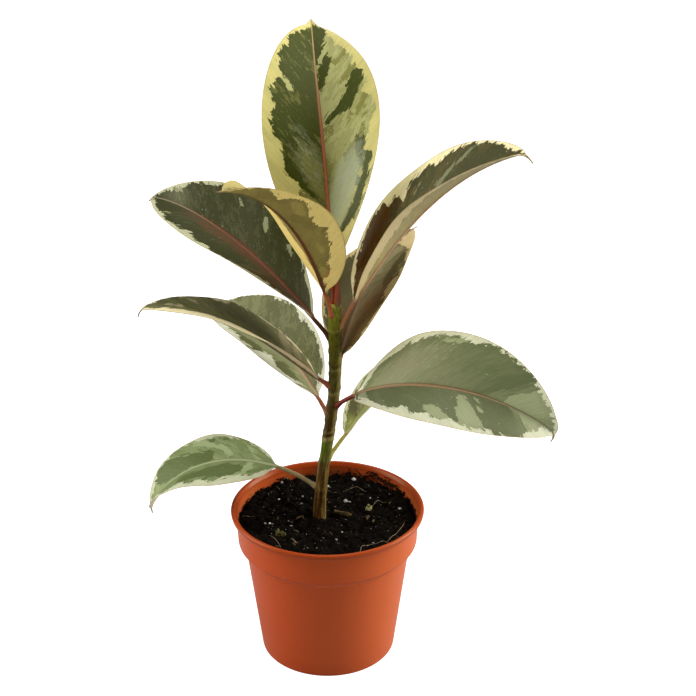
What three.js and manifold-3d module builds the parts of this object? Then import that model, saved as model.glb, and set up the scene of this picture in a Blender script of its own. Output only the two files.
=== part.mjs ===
// A young variegated rubber plant in a plain plastic nursery pot.
// Millimetres, +Z up. The origin is the centre of the pot's underside, on the surface it stands on.
// The plant faces -Y: its top leaf shows its upper side towards -Y.
import * as THREE from 'three';
import { mergeVertices } from 'three/addons/utils/BufferGeometryUtils.js';
import Module from 'manifold-3d';

const wasm = await Module();
wasm.setup();

// ---------- driving dimensions ----------
const GAP = 0.3;                 // clearance between pieces that touch
const RIM_RADIUS = 60;           // a 12 cm nursery pot
const RIM_HEIGHT = 97.7;
const BASE_RADIUS = 42.1;
const WALL_TOP_RADIUS = 51.3;    // outside, where the tapered wall meets the step
const WALL = 1;
const POT_SEGMENTS = 60;
const DRAIN_HOLES = 8;
const DRAIN_RADIUS = 3.5;        // each drain hole
const DRAIN_CIRCLE = 30.5;       // radius of the circle the drain holes sit on

const SOIL_LEVEL = 88.2;         // mean height of the soil, 9 mm below the rim
const SOIL_RADIUS = 55.3;        // at that height
const SOIL_RINGS = 17;
const SOIL_SECTORS = 50;
const SOIL_LUMP = 1.5;           // height of a lump above the mean level
const SOIL_SEED = 20;

const STEM_FOOT = 50;            // the stem stands in a hole in the soil from here
const STEM_TOP = 229.5;
const STEM_SIDES = 14;
const STEM_NODE_RISE = 0.55;     // how far a leaf node stands out of the stem
const LEAF_SCARS = [143, 147.5, 192, 200]; // heights of rings left by leaves that have fallen

const BLADE_THICKNESS = 0.8;
const PETIOLE_RADIUS = 1.3;
const PETIOLE_FOOT_RADIUS = 2.2; // where it joins the stem
const FOOT_LENGTH = 6;           // over which the petiole swells to its foot
const RIB_HALF_WIDTH = 1.3;      // the midrib stands out of the leaf's underside
const RIB_DEPTH = 1.5;           // at the blade's base; it fades towards the tip
const BLADE_STATIONS = 19;
const PETIOLE_STATIONS = 4;
const MIDRIB_STEPS = 240;
const HOOK_START = 0.93;         // share of the midrib after which a drip tip turns down

// One line per leaf, from the lowest node to the top. Lengths in mm, angles in degrees.
// node: height on the stem. offset: start of the petiole from the stem's axis.
// azimuth and rise: the midrib's heading at its start, middle and end (azimuth 0 is +X, 90 is +Y).
// roll: the blade's turn about its midrib, base and tip. fold: how far each half is raised, base and tip.
// curl: extra turn across each half. fullness: above 1 the blade is widest nearer its tip.
// taper: 1 gives pointed ends, less gives rounder ones. tip: more gives a shorter, blunter drip tip.
// hook: how far the drip tip turns down at the end, 0 if not given.
const LEAVES = [
  { name: 'leaf_01', node: 109.5, offset: 2.5, azimuth: [170, 170, 180], rise: [36, -9, -67],
    petiole: 28, blade: 100, halfWidth: 26, roll: [-12, -9], fold: [-9, 33], curl: -6.5,
    fullness: 0.92, taper: 0.71, tip: 0.8, hook: -35 },
  { name: 'leaf_02', node: 128, offset: 2.5, azimuth: [46, 63, 64], rise: [35, 18, 12],
    petiole: 18.5, blade: 105.5, halfWidth: 25.5, roll: [-34, -32], fold: [13, 1], curl: -1.5,
    fullness: 0.96, taper: 0.79, tip: 0.8, hook: -50 },
  { name: 'leaf_03', node: 156.5, offset: 2.5, azimuth: [131, 128, 125], rise: [44, 20, -28],
    petiole: 13, blade: 131.5, halfWidth: 28, roll: [6, -12], fold: [12, 12], curl: 1,
    fullness: 0.91, taper: 0.8, tip: 0.8 },
  { name: 'leaf_04', node: 164.5, offset: 2.5, azimuth: [-39, -17, -10], rise: [43, 0.3, -38],
    petiole: 18.5, blade: 134, halfWidth: 33.5, roll: [18, 56], fold: [17, 29], curl: 0,
    fullness: 0.9, taper: 0.69, tip: 1, hook: -80 },
  { name: 'leaf_05', node: 177, offset: 2.5, azimuth: [187, 183, 190], rise: [38, 49.5, -12],
    petiole: 8.5, blade: 122.5, halfWidth: 28.5, roll: [8, 3], fold: [18, 6], curl: -2.5,
    fullness: 0.83, taper: 0.76, tip: 0.8, hook: -65 },
  { name: 'leaf_06', node: 186.5, offset: 2.5, azimuth: [47, 49, 49], rise: [74, 51, 9],
    petiole: 8.5, blade: 100, halfWidth: 29, roll: [-8, -11], fold: [18, 7], curl: 0,
    fullness: 0.91, taper: 0.83, tip: 0.8 },
  { name: 'leaf_07', node: 207, offset: 2.5, azimuth: [161, 149, 132], rise: [49, 36, -11],
    petiole: 15, blade: 146, halfWidth: 30.5, roll: [0, -30], fold: [22, 21], curl: 2,
    fullness: 1, taper: 0.85, tip: 2, hook: -25 },
  { name: 'leaf_08', node: 214.5, offset: 2.5, azimuth: [-7, -36, -42], rise: [63, 57.5, 17],
    petiole: 18, blade: 158, halfWidth: 33, roll: [26, 17], fold: [30, 22], curl: -1,
    fullness: 0.89, taper: 0.8, tip: 0.7, hook: -60 },
  { name: 'leaf_09', node: 223, offset: 2.5, azimuth: [232, 231, 231], rise: [70, 60, 9],
    petiole: 17.5, blade: 123, halfWidth: 28, roll: [-2, 4], fold: [17, 23], curl: -1,
    fullness: 0.93, taper: 0.78, tip: 1.2 },
  { name: 'leaf_10', node: 229, offset: 1.6, azimuth: [104, 109, 94], rise: [79, 77, 38],
    petiole: 19.5, blade: 153.5, halfWidth: 37, roll: [-40, 13], fold: [34, 15], curl: 2.5,
    fullness: 1.21, taper: 0.59, tip: 3 },
];

const BUD_RADIUS = 1.7;          // the red sheath round the growing tip
const BUD_HEIGHT = 20;
const BUD_AZIMUTH = -50;         // side of the stem's tip it stands on
const BUD_OFFSET = 2.2;

const SLIVER_LENGTH = 20;        // a sliver of bark bedded in the soil
const SLIVER_RADIUS = 1.3;
const SLIVER_PLACE = [13.5, 2, SOIL_LEVEL + 1.1];
const SLIVER_TURN = -14;         // degrees about +Z
const SLIVER_TILT = 6;           // degrees; its left end stands higher

// ---------- materials ----------
const plastic = new THREE.MeshStandardMaterial({ color: 0xb5532f, roughness: 0.5, metalness: 0 });
const peat = new THREE.MeshStandardMaterial({ color: 0x1b1410, roughness: 1, metalness: 0 });
const bark = new THREE.MeshStandardMaterial({ color: 0x5f6128, roughness: 0.7, metalness: 0 });
const sheath = new THREE.MeshStandardMaterial({ color: 0x8c2f16, roughness: 0.45, metalness: 0 });
const chip = new THREE.MeshStandardMaterial({ color: 0x6a4526, roughness: 0.9, metalness: 0 });
const blade = new THREE.MeshStandardMaterial({
  color: 0x56664a, roughness: 0.35, metalness: 0, side: THREE.DoubleSide });

// ---------- small helpers ----------
const rad = THREE.MathUtils.degToRad;
const clamp01 = (x) => Math.min(1, Math.max(0, x));
const mix = (a, b, t) => a + (b - a) * t;
const bend = ([a, b, c], t) => a * (1 - t) ** 2 + 2 * b * t * (1 - t) + c * t * t;
const smooth = (lo, hi, x) => THREE.MathUtils.smoothstep(x, lo, hi);

function randomFrom(seed) {      // small repeatable random source, 0 to 1
  let state = seed;
  return () => {
    state = (Math.imul(state, 1664525) + 1013904223) >>> 0;
    return state / 4294967296;
  };
}

// Closed skin over a list of rings with equally many points, with a fan over each end.
// flip(j) tells which diagonal the quads between ring points j and j + 1 take.
function loft(rings, flip = () => false) {
  const n = rings[0].length;
  const position = [];
  const index = [];
  for (const ring of rings) for (const p of ring) position.push(p.x, p.y, p.z);
  for (let i = 0; i + 1 < rings.length; i++) {
    for (let j = 0; j < n; j++) {
      const a = i * n + j;
      const b = i * n + ((j + 1) % n);
      if (flip(j)) index.push(a, b, a + n, b, b + n, a + n);
      else index.push(a, b, b + n, a, b + n, a + n);
    }
  }
  for (const end of [0, rings.length - 1]) {
    const middle = new THREE.Vector3();
    rings[end].forEach((p) => middle.addScaledVector(p, 1 / n));
    const centre = position.length / 3;
    position.push(middle.x, middle.y, middle.z);
    for (let j = 0; j < n; j++) {
      const a = end * n + j;
      const b = end * n + ((j + 1) % n);
      if (end === 0) index.push(centre, b, a);
      else index.push(centre, a, b);
    }
  }
  const geometry = new THREE.BufferGeometry();
  geometry.setAttribute('position', new THREE.Float32BufferAttribute(position, 3));
  geometry.setIndex(index);
  return geometry;
}

function facingOut(geometry) {   // turn the faces round if the volume comes out negative
  const p = geometry.attributes.position;
  const index = Array.from(geometry.index.array);
  const a = new THREE.Vector3();
  const b = new THREE.Vector3();
  const c = new THREE.Vector3();
  let volume = 0;
  for (let i = 0; i < index.length; i += 3) {
    a.fromBufferAttribute(p, index[i]);
    b.fromBufferAttribute(p, index[i + 1]);
    c.fromBufferAttribute(p, index[i + 2]);
    volume += a.dot(b.cross(c));
  }
  if (volume < 0) {
    for (let i = 0; i < index.length; i += 3) {
      [index[i + 1], index[i + 2]] = [index[i + 2], index[i + 1]];
    }
    geometry.setIndex(index);
  }
  return geometry;
}

function toSolid(geometry) {
  const bare = geometry.clone();
  for (const name of Object.keys(bare.attributes)) if (name !== 'position') bare.deleteAttribute(name);
  const merged = facingOut(mergeVertices(bare, 1e-4));
  return new wasm.Manifold(new wasm.Mesh({
    numProp: 3,
    vertProperties: new Float32Array(merged.attributes.position.array),
    triVerts: new Uint32Array(merged.index.array),
  }));
}

function toGeometry(solid) {
  const mesh = solid.getMesh();
  const geometry = new THREE.BufferGeometry();
  geometry.setAttribute('position', new THREE.BufferAttribute(mesh.vertProperties, 3));
  geometry.setIndex(new THREE.BufferAttribute(mesh.triVerts, 1));
  return geometry;
}

// A lathe turned to stand on +Z, from [radius, height] pairs that close on themselves or on the axis.
function turned(profile, segments) {
  const points = profile.map(([r, z]) => new THREE.Vector2(r, z));
  return new THREE.LatheGeometry(points, segments).rotateX(Math.PI / 2);
}

// ---------- pot ----------
function potSolid() {
  const profile = [
    [0, 0], [20, 0], [21.5, 2.5], [38.5, 2.5], [39.5, 0],             // pad, drain channel, foot ring
    [BASE_RADIUS - 0.8, 0], [BASE_RADIUS, 0.8], [WALL_TOP_RADIUS, 71.4], // tapered wall
    [54.6, 74], [55.8, 75.6], [56.7, 94.1],                           // step and collar
    [59.6, 94.3], [RIM_RADIUS, 95.2], [RIM_RADIUS, 96.9], [59.2, RIM_HEIGHT], // rolled lip
    [57.8, 97.5], [56.1, 95.2], [55.8, 92.5], [54.9, 76.4],           // inside of the collar
    [53.8, 75], [WALL_TOP_RADIUS - WALL, 72.2], [41.2, 4.2], [40.4, 3.6], [0, 3.6], // inside wall, floor
  ];
  let solid = toSolid(turned(profile, POT_SEGMENTS));
  for (let i = 0; i < DRAIN_HOLES; i++) {
    const drain = new THREE.CylinderGeometry(DRAIN_RADIUS, DRAIN_RADIUS, 8, 16).rotateX(Math.PI / 2);
    const angle = ((i + 0.5) / DRAIN_HOLES) * 2 * Math.PI;
    drain.translate(DRAIN_CIRCLE * Math.cos(angle), DRAIN_CIRCLE * Math.sin(angle), 2);
    solid = solid.subtract(toSolid(drain));
  }
  return solid;
}

// ---------- stem ----------
// The stem leaves the soil left of the pot's centre and bends over to stand upright.
function stemAt(z) {
  return new THREE.Vector3(-5 + 10 * smooth(88, 190, z), 4 * smooth(88, 170, z), z);
}

function stemRadius(z) {
  const taper = z < 120 ? mix(4.4, 3.7, smooth(84, 120, z)) : mix(3.7, 4.0, smooth(150, 215, z));
  const rings = [...LEAVES.map((leaf) => leaf.node - 1), ...LEAF_SCARS];
  const swell = rings.reduce((sum, ring) => sum + Math.exp(-(((z - ring) / 1.6) ** 2)), 0);
  return taper + STEM_NODE_RISE * Math.min(1, swell);
}

function stemHeights() {
  const heights = [STEM_FOOT, STEM_FOOT + 1.5, 84, 93, 100];
  const rings = [...LEAVES.map((leaf) => leaf.node - 1), ...LEAF_SCARS].filter((z) => z < STEM_TOP - 4);
  for (const ring of rings) heights.push(ring - 3, ring, ring + 3);
  for (let z = 116; z < 140; z += 8) heights.push(z);
  heights.sort((a, b) => a - b);
  return heights.filter((z, i) => i === 0 || z - heights[i - 1] > 1.2);
}

function stemSolid(extra = 0) {
  const ring = (z, radius) => Array.from({ length: STEM_SIDES }, (_, i) => {
    const angle = (i / STEM_SIDES) * 2 * Math.PI;
    return stemAt(z).add(new THREE.Vector3(radius * Math.cos(angle), radius * Math.sin(angle), 0));
  });
  const rings = stemHeights().map((z, i) => ring(z - (i ? 0 : extra), stemRadius(z) + extra - (i ? 0 : 0.8)));
  rings.push(ring(STEM_TOP - 1.2, 4.0 + extra), ring(STEM_TOP - 0.3 + extra, 3.3 + extra));
  rings.push(ring(STEM_TOP + extra, 2.2 + extra));
  return toSolid(loft(rings));
}

// ---------- soil ----------
// Lumps of different size at seeded places, raised from a disc that fills the pot.
function soilBumps() {
  const random = randomFrom(SOIL_SEED);
  return Array.from({ length: 150 }, () => {
    const r = SOIL_RADIUS * Math.sqrt(random());
    const a = 2 * Math.PI * random();
    return { x: r * Math.cos(a), y: r * Math.sin(a), size: 2 + 2.6 * random(), rise: random() ** 2 };
  });
}

function soilHeight(x, y, bumps) {
  let lump = 0;
  for (const bump of bumps) {
    const d2 = (x - bump.x) ** 2 + (y - bump.y) ** 2;
    lump += bump.rise * Math.exp(-d2 / bump.size ** 2);
  }
  return SOIL_LEVEL - 0.6 + SOIL_LUMP * Math.min(1.6, lump);
}

function soilSolid() {
  const bumps = soilBumps();
  const circle = (radius, height) => Array.from({ length: SOIL_SECTORS }, (_, j) => {
    const a = (j / SOIL_SECTORS) * 2 * Math.PI;
    const x = radius * Math.cos(a);
    const y = radius * Math.sin(a);
    return new THREE.Vector3(x, y, height ?? soilHeight(x, y, bumps));
  });
  const rings = [circle(38, 3.9), circle(39.9, 3.9), circle(40.7, 5), circle(49.8, 72.6), circle(53.2, 75.5),
    circle(54.3, 77.2)];
  for (let i = SOIL_RINGS; i > 0; i--) rings.push(circle((SOIL_RADIUS - 0.5) * (i / SOIL_RINGS)));
  return toSolid(loft(rings));
}

// ---------- bark sliver ----------
function sliverSolid(extra = 0) {
  const rings = [-0.5, -0.42, -0.1, 0.25, 0.42, 0.5].map((at) => {
    const width = (1.5 - 1.2 * Math.abs(at) - 0.6 * at) * SLIVER_RADIUS + extra;
    return Array.from({ length: 7 }, (_, i) => {
      const a = (i / 7) * 2 * Math.PI;
      const along = at * (SLIVER_LENGTH + 2 * extra);
      return new THREE.Vector3(along, width * Math.cos(a) + 3 * at * at, width * 0.7 * Math.sin(a));
    });
  });
  const geometry = loft(rings).rotateY(rad(SLIVER_TILT)).rotateZ(rad(SLIVER_TURN));
  return toSolid(geometry.translate(...SLIVER_PLACE));
}

// ---------- leaves ----------
// Midrib of a leaf, as equally spaced points with the blade's side and upper directions.
function midrib(leaf) {
  const length = leaf.petiole + leaf.blade;
  const step = length / MIDRIB_STEPS;
  const start = rad(leaf.azimuth[0]);
  const at = stemAt(leaf.node).add(
    new THREE.Vector3(Math.cos(start), Math.sin(start), 0).multiplyScalar(leaf.offset));
  const frames = [];
  let previous = null;
  for (let i = 0; i <= MIDRIB_STEPS; i++) {
    const t = i / MIDRIB_STEPS;
    const a = rad(bend(leaf.azimuth, t));
    const e = rad(bend(leaf.rise, t) + (leaf.hook ?? 0) * smooth(HOOK_START, 1, t));
    const heading = new THREE.Vector3(Math.cos(e) * Math.cos(a), Math.cos(e) * Math.sin(a), Math.sin(e));
    if (previous) at.addScaledVector(previous.clone().add(heading), step / 2);
    const side = new THREE.Vector3(-Math.sin(a), Math.cos(a), 0);
    const up = new THREE.Vector3().crossVectors(heading, side);
    frames.push({ at: at.clone(), side, up });
    previous = heading;
  }
  return frames;
}

// Half width of the blade at b, 0 at its base and 1 at its tip, with a narrow drip tip.
function halfWidth(leaf, b) {
  const full = Math.sin(Math.PI * clamp01(b / 0.965) ** leaf.fullness);
  const oval = Math.max(0, full) ** leaf.taper;
  const drip = b > 0.5 ? Math.min(0.16, leaf.tip * (1 - b)) : 0;
  return leaf.halfWidth * (oval ** 4 + drip ** 4) ** 0.25;
}

// Points across one half at distance u (0 to 1) from the midrib: out along the side, and up.
function across(leaf, b, u) {
  const fold = rad(mix(leaf.fold[0], leaf.fold[1], b));
  const curl = rad(leaf.curl);
  if (Math.abs(curl) < 1e-4) return [u * Math.cos(fold), u * Math.sin(fold)];
  return [(Math.sin(fold + curl * u) - Math.sin(fold)) / curl,
    (Math.cos(fold) - Math.cos(fold + curl * u)) / curl];
}

const UPPER = [-1, -0.55, -0.12, 0, 0.12, 0.55, 1];   // columns of points across the upper side
const RING = 2 * UPPER.length;

// Ring of points round the leaf at b: a round petiole that turns into the flat blade.
function leafRing(leaf, frame, b, lengthFromFoot) {
  const along = clamp01(b);
  const roll = rad(mix(leaf.roll[0], leaf.roll[1], along));
  const side = frame.side.clone().multiplyScalar(Math.cos(roll)).addScaledVector(frame.up, Math.sin(roll));
  const up = frame.up.clone().multiplyScalar(Math.cos(roll)).addScaledVector(frame.side, -Math.sin(roll));
  const width = Math.max(halfWidth(leaf, along), b > 0.5 ? 0.35 : 0);
  const flat = smooth(-0.03, 0.07, b);
  const foot = mix(PETIOLE_FOOT_RADIUS, PETIOLE_RADIUS, smooth(0, FOOT_LENGTH, lengthFromFoot));
  const rib = RIB_DEPTH * (1 - along) ** 0.7;
  const points = [];
  for (let j = 0; j < RING; j++) {
    const top = j < UPPER.length;
    const column = top ? j : RING - 1 - j;
    const edge = Math.abs(UPPER[column]);
    const sign = Math.sign(UPPER[column]);
    let u = edge;
    if (edge > 0 && edge < 0.2) u = Math.min(0.3, RIB_HALF_WIDTH * (1 - 0.6 * along) / Math.max(width, 1));
    const [out, rise] = across(leaf, along, u);
    const depth = top ? BLADE_THICKNESS / 2 : -BLADE_THICKNESS / 2 - (edge === 0 ? rib : 0);
    const angle = Math.PI * (1 - (column + 0.5) / UPPER.length) * (top ? 1 : -1);
    const x = mix(foot * Math.cos(angle), sign * out * width, flat);
    const z = mix(foot * Math.sin(angle), rise * width + depth, flat);
    points.push(frame.at.clone().addScaledVector(side, x).addScaledVector(up, z));
  }
  return points;
}

function leafSolid(leaf) {
  const frames = midrib(leaf);
  const length = leaf.petiole + leaf.blade;
  const stations = [];
  for (let i = 0; i < PETIOLE_STATIONS; i++) stations.push((i / PETIOLE_STATIONS) * leaf.petiole * 0.85);
  for (let i = 0; i <= BLADE_STATIONS; i++) {
    const even = i / BLADE_STATIONS;
    stations.push(leaf.petiole + leaf.blade * mix(even, 0.5 - 0.5 * Math.cos(Math.PI * even), 0.55));
  }
  const rings = stations.map((s) => {
    const frame = frames[Math.min(MIDRIB_STEPS, Math.round((s / length) * MIDRIB_STEPS))];
    return leafRing(leaf, frame, (s - leaf.petiole) / leaf.blade, s);
  });
  // the lower side takes the same diagonals as the upper side
  return toSolid(loft(rings, (j) => j > UPPER.length - 1));
}

// ---------- bud sheath ----------
function budSolid() {
  const foot = stemAt(STEM_TOP);
  const lean = new THREE.Vector3(Math.cos(rad(BUD_AZIMUTH)), Math.sin(rad(BUD_AZIMUTH)), 0);
  const rings = [[-2, 0.85], [2, 1], [6, 1], [11, 0.8], [16, 0.45], [BUD_HEIGHT, 0.12]].map(([z, scale]) =>
    Array.from({ length: 10 }, (_, i) => {
      const a = (i / 10) * 2 * Math.PI;
      const r = BUD_RADIUS * scale;
      return new THREE.Vector3(r * Math.cos(a), r * Math.sin(a), z).add(foot)
        .addScaledVector(lean, BUD_OFFSET + 0.05 * z);
    }));
  return toSolid(loft(rings));
}

// ---------- assembly ----------
const plant = new THREE.Group();
function add(name, solid, material) {
  const geometry = toGeometry(solid);
  geometry.computeVertexNormals();
  const mesh = new THREE.Mesh(geometry, material);
  mesh.name = name;
  plant.add(mesh);
}

const stemClear = stemSolid(GAP);
add('pot', potSolid(), plastic);
add('soil', soilSolid().subtract(stemClear).subtract(sliverSolid(GAP)), peat);
add('bark_sliver', sliverSolid(), chip);
add('stem', stemSolid(), bark);
add('bud_sheath', budSolid().subtract(stemClear), sheath);
for (const leaf of LEAVES) add(leaf.name, leafSolid(leaf).subtract(stemClear), blade);

export default plant;
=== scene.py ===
"""A young variegated rubber plant in a terracotta-coloured plastic nursery pot.

The leaves, stem, soil and pot are built again, finer, from the same dimensions as the CAD solids
they stand for. Lengths in the tables below are millimetres; every Blender object is in metres.
"""
import math

import bmesh
import bpy
import numpy as np
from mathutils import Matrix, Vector


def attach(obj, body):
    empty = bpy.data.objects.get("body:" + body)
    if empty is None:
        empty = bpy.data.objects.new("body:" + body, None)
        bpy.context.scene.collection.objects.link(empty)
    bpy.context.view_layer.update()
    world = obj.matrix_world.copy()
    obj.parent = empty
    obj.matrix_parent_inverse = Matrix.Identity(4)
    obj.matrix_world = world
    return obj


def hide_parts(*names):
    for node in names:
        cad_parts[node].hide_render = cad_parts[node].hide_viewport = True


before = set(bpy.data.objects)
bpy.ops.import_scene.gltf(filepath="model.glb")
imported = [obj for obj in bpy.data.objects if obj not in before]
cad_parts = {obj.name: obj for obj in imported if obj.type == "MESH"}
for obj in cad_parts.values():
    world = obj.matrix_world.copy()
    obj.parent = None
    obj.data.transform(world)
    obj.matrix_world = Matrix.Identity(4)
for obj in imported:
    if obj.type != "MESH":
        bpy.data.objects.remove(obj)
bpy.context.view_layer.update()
MM = 0.001

# ---------- Dimensions ----------
RIM_RADIUS, RIM_HEIGHT, BASE_RADIUS = 60.0, 97.7, 42.1
POT_SEGMENTS = 192
DRAIN_HOLES, DRAIN_RADIUS, DRAIN_CIRCLE = 8, 3.5, 30.5
SOIL_LEVEL, SOIL_RADIUS = 88.2, 55.0

STEM_FOOT, STEM_TOP = 50.0, 229.5
STEM_NODE_RISE = 0.35
LEAF_SCARS = (143.0, 147.5, 192.0, 200.0)

BLADE_THICKNESS = 0.7
PETIOLE_RADIUS, PETIOLE_FOOT_RADIUS, FOOT_LENGTH = 1.3, 2.2, 6.0
RIB_HALF_WIDTH, RIB_DEPTH = 1.3, 1.4
VEIN_LEAN = 1.0                  # how far a side vein runs towards the tip for each mm outwards
MIDRIB_STEPS = 240
HOOK_START = 0.93                # share of the midrib after which a drip tip turns down

BUD_RADIUS, BUD_HEIGHT, BUD_AZIMUTH, BUD_OFFSET = 1.7, 20.0, -50.0, 2.2
SLIVER_LENGTH, SLIVER_RADIUS, SLIVER_TURN, SLIVER_TILT = 20.0, 1.3, -14.0, 6.0
SLIVER_PLACE = (13.5, 2.0, SOIL_LEVEL + 1.1)
SLIVER_SIDES, SLIVER_RINGS = 14, 26

CAMERA_PLACE = (12.7, -748.0, 523.4)
CAMERA_PITCH = 23.15             # degrees below the horizon
CAMERA_LENS, CAMERA_SENSOR = 71.3, 36     # mm

# The leaves from the lowest node up: node height, start of the petiole from the stem's axis,
# midrib heading (azimuth and rise at start, middle and end), lengths, the blade's half width,
# roll and fold (base and tip), curl across each half, fullness towards the tip, taper of its ends (1 is
# pointed), how blunt its drip tip is, and how far that turns down at the end (hook).
LEAVES = {
    "leaf_01": dict(node=109.5, offset=2.5, azimuth=(170, 170, 180), rise=(36, -9, -67), petiole=28,
                    blade=100, half_width=26, roll=(-12, -9), fold=(-9, 33), curl=-6.5,
                    fullness=0.92, taper=0.71, tip=0.8, hook=-35),
    "leaf_02": dict(node=128, offset=2.5, azimuth=(46, 63, 64), rise=(35, 18, 12), petiole=18.5,
                    blade=105.5, half_width=25.5, roll=(-34, -32), fold=(13, 1), curl=-1.5,
                    fullness=0.96, taper=0.79, tip=0.8, hook=-50),
    "leaf_03": dict(node=156.5, offset=2.5, azimuth=(131, 128, 125), rise=(44, 20, -28), petiole=13,
                    blade=131.5, half_width=28, roll=(6, -12), fold=(12, 12), curl=1,
                    fullness=0.91, taper=0.8, tip=0.8),
    "leaf_04": dict(node=164.5, offset=2.5, azimuth=(-39, -17, -10), rise=(43, 0.3, -38), petiole=18.5,
                    blade=134, half_width=33.5, roll=(18, 56), fold=(17, 29), curl=0,
                    fullness=0.9, taper=0.69, tip=1, hook=-80),
    "leaf_05": dict(node=177, offset=2.5, azimuth=(187, 183, 190), rise=(38, 49.5, -12), petiole=8.5,
                    blade=122.5, half_width=28.5, roll=(8, 3), fold=(18, 6), curl=-2.5,
                    fullness=0.83, taper=0.76, tip=0.8, hook=-65),
    "leaf_06": dict(node=186.5, offset=2.5, azimuth=(47, 49, 49), rise=(74, 51, 9), petiole=8.5,
                    blade=100, half_width=29, roll=(-8, -11), fold=(18, 7), curl=0,
                    fullness=0.91, taper=0.83, tip=0.8),
    "leaf_07": dict(node=207, offset=2.5, azimuth=(161, 149, 132), rise=(49, 36, -11), petiole=15,
                    blade=146, half_width=30.5, roll=(0, -30), fold=(22, 21), curl=2,
                    fullness=1, taper=0.85, tip=2, hook=-25),
    "leaf_08": dict(node=214.5, offset=2.5, azimuth=(-7, -36, -42), rise=(63, 57.5, 17), petiole=18,
                    blade=158, half_width=33, roll=(26, 17), fold=(30, 22), curl=-1,
                    fullness=0.89, taper=0.8, tip=0.7, hook=-60),
    "leaf_09": dict(node=223, offset=2.5, azimuth=(232, 231, 231), rise=(70, 60, 9), petiole=17.5,
                    blade=123, half_width=28, roll=(-2, 4), fold=(17, 23), curl=-1,
                    fullness=0.93, taper=0.78, tip=1.2),
    "leaf_10": dict(node=229, offset=1.6, azimuth=(104, 109, 94), rise=(79, 77, 38), petiole=19.5,
                    blade=153.5, half_width=37, roll=(-40, 13), fold=(34, 15), curl=2.5,
                    fullness=1.21, taper=0.59, tip=3),
}

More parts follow.
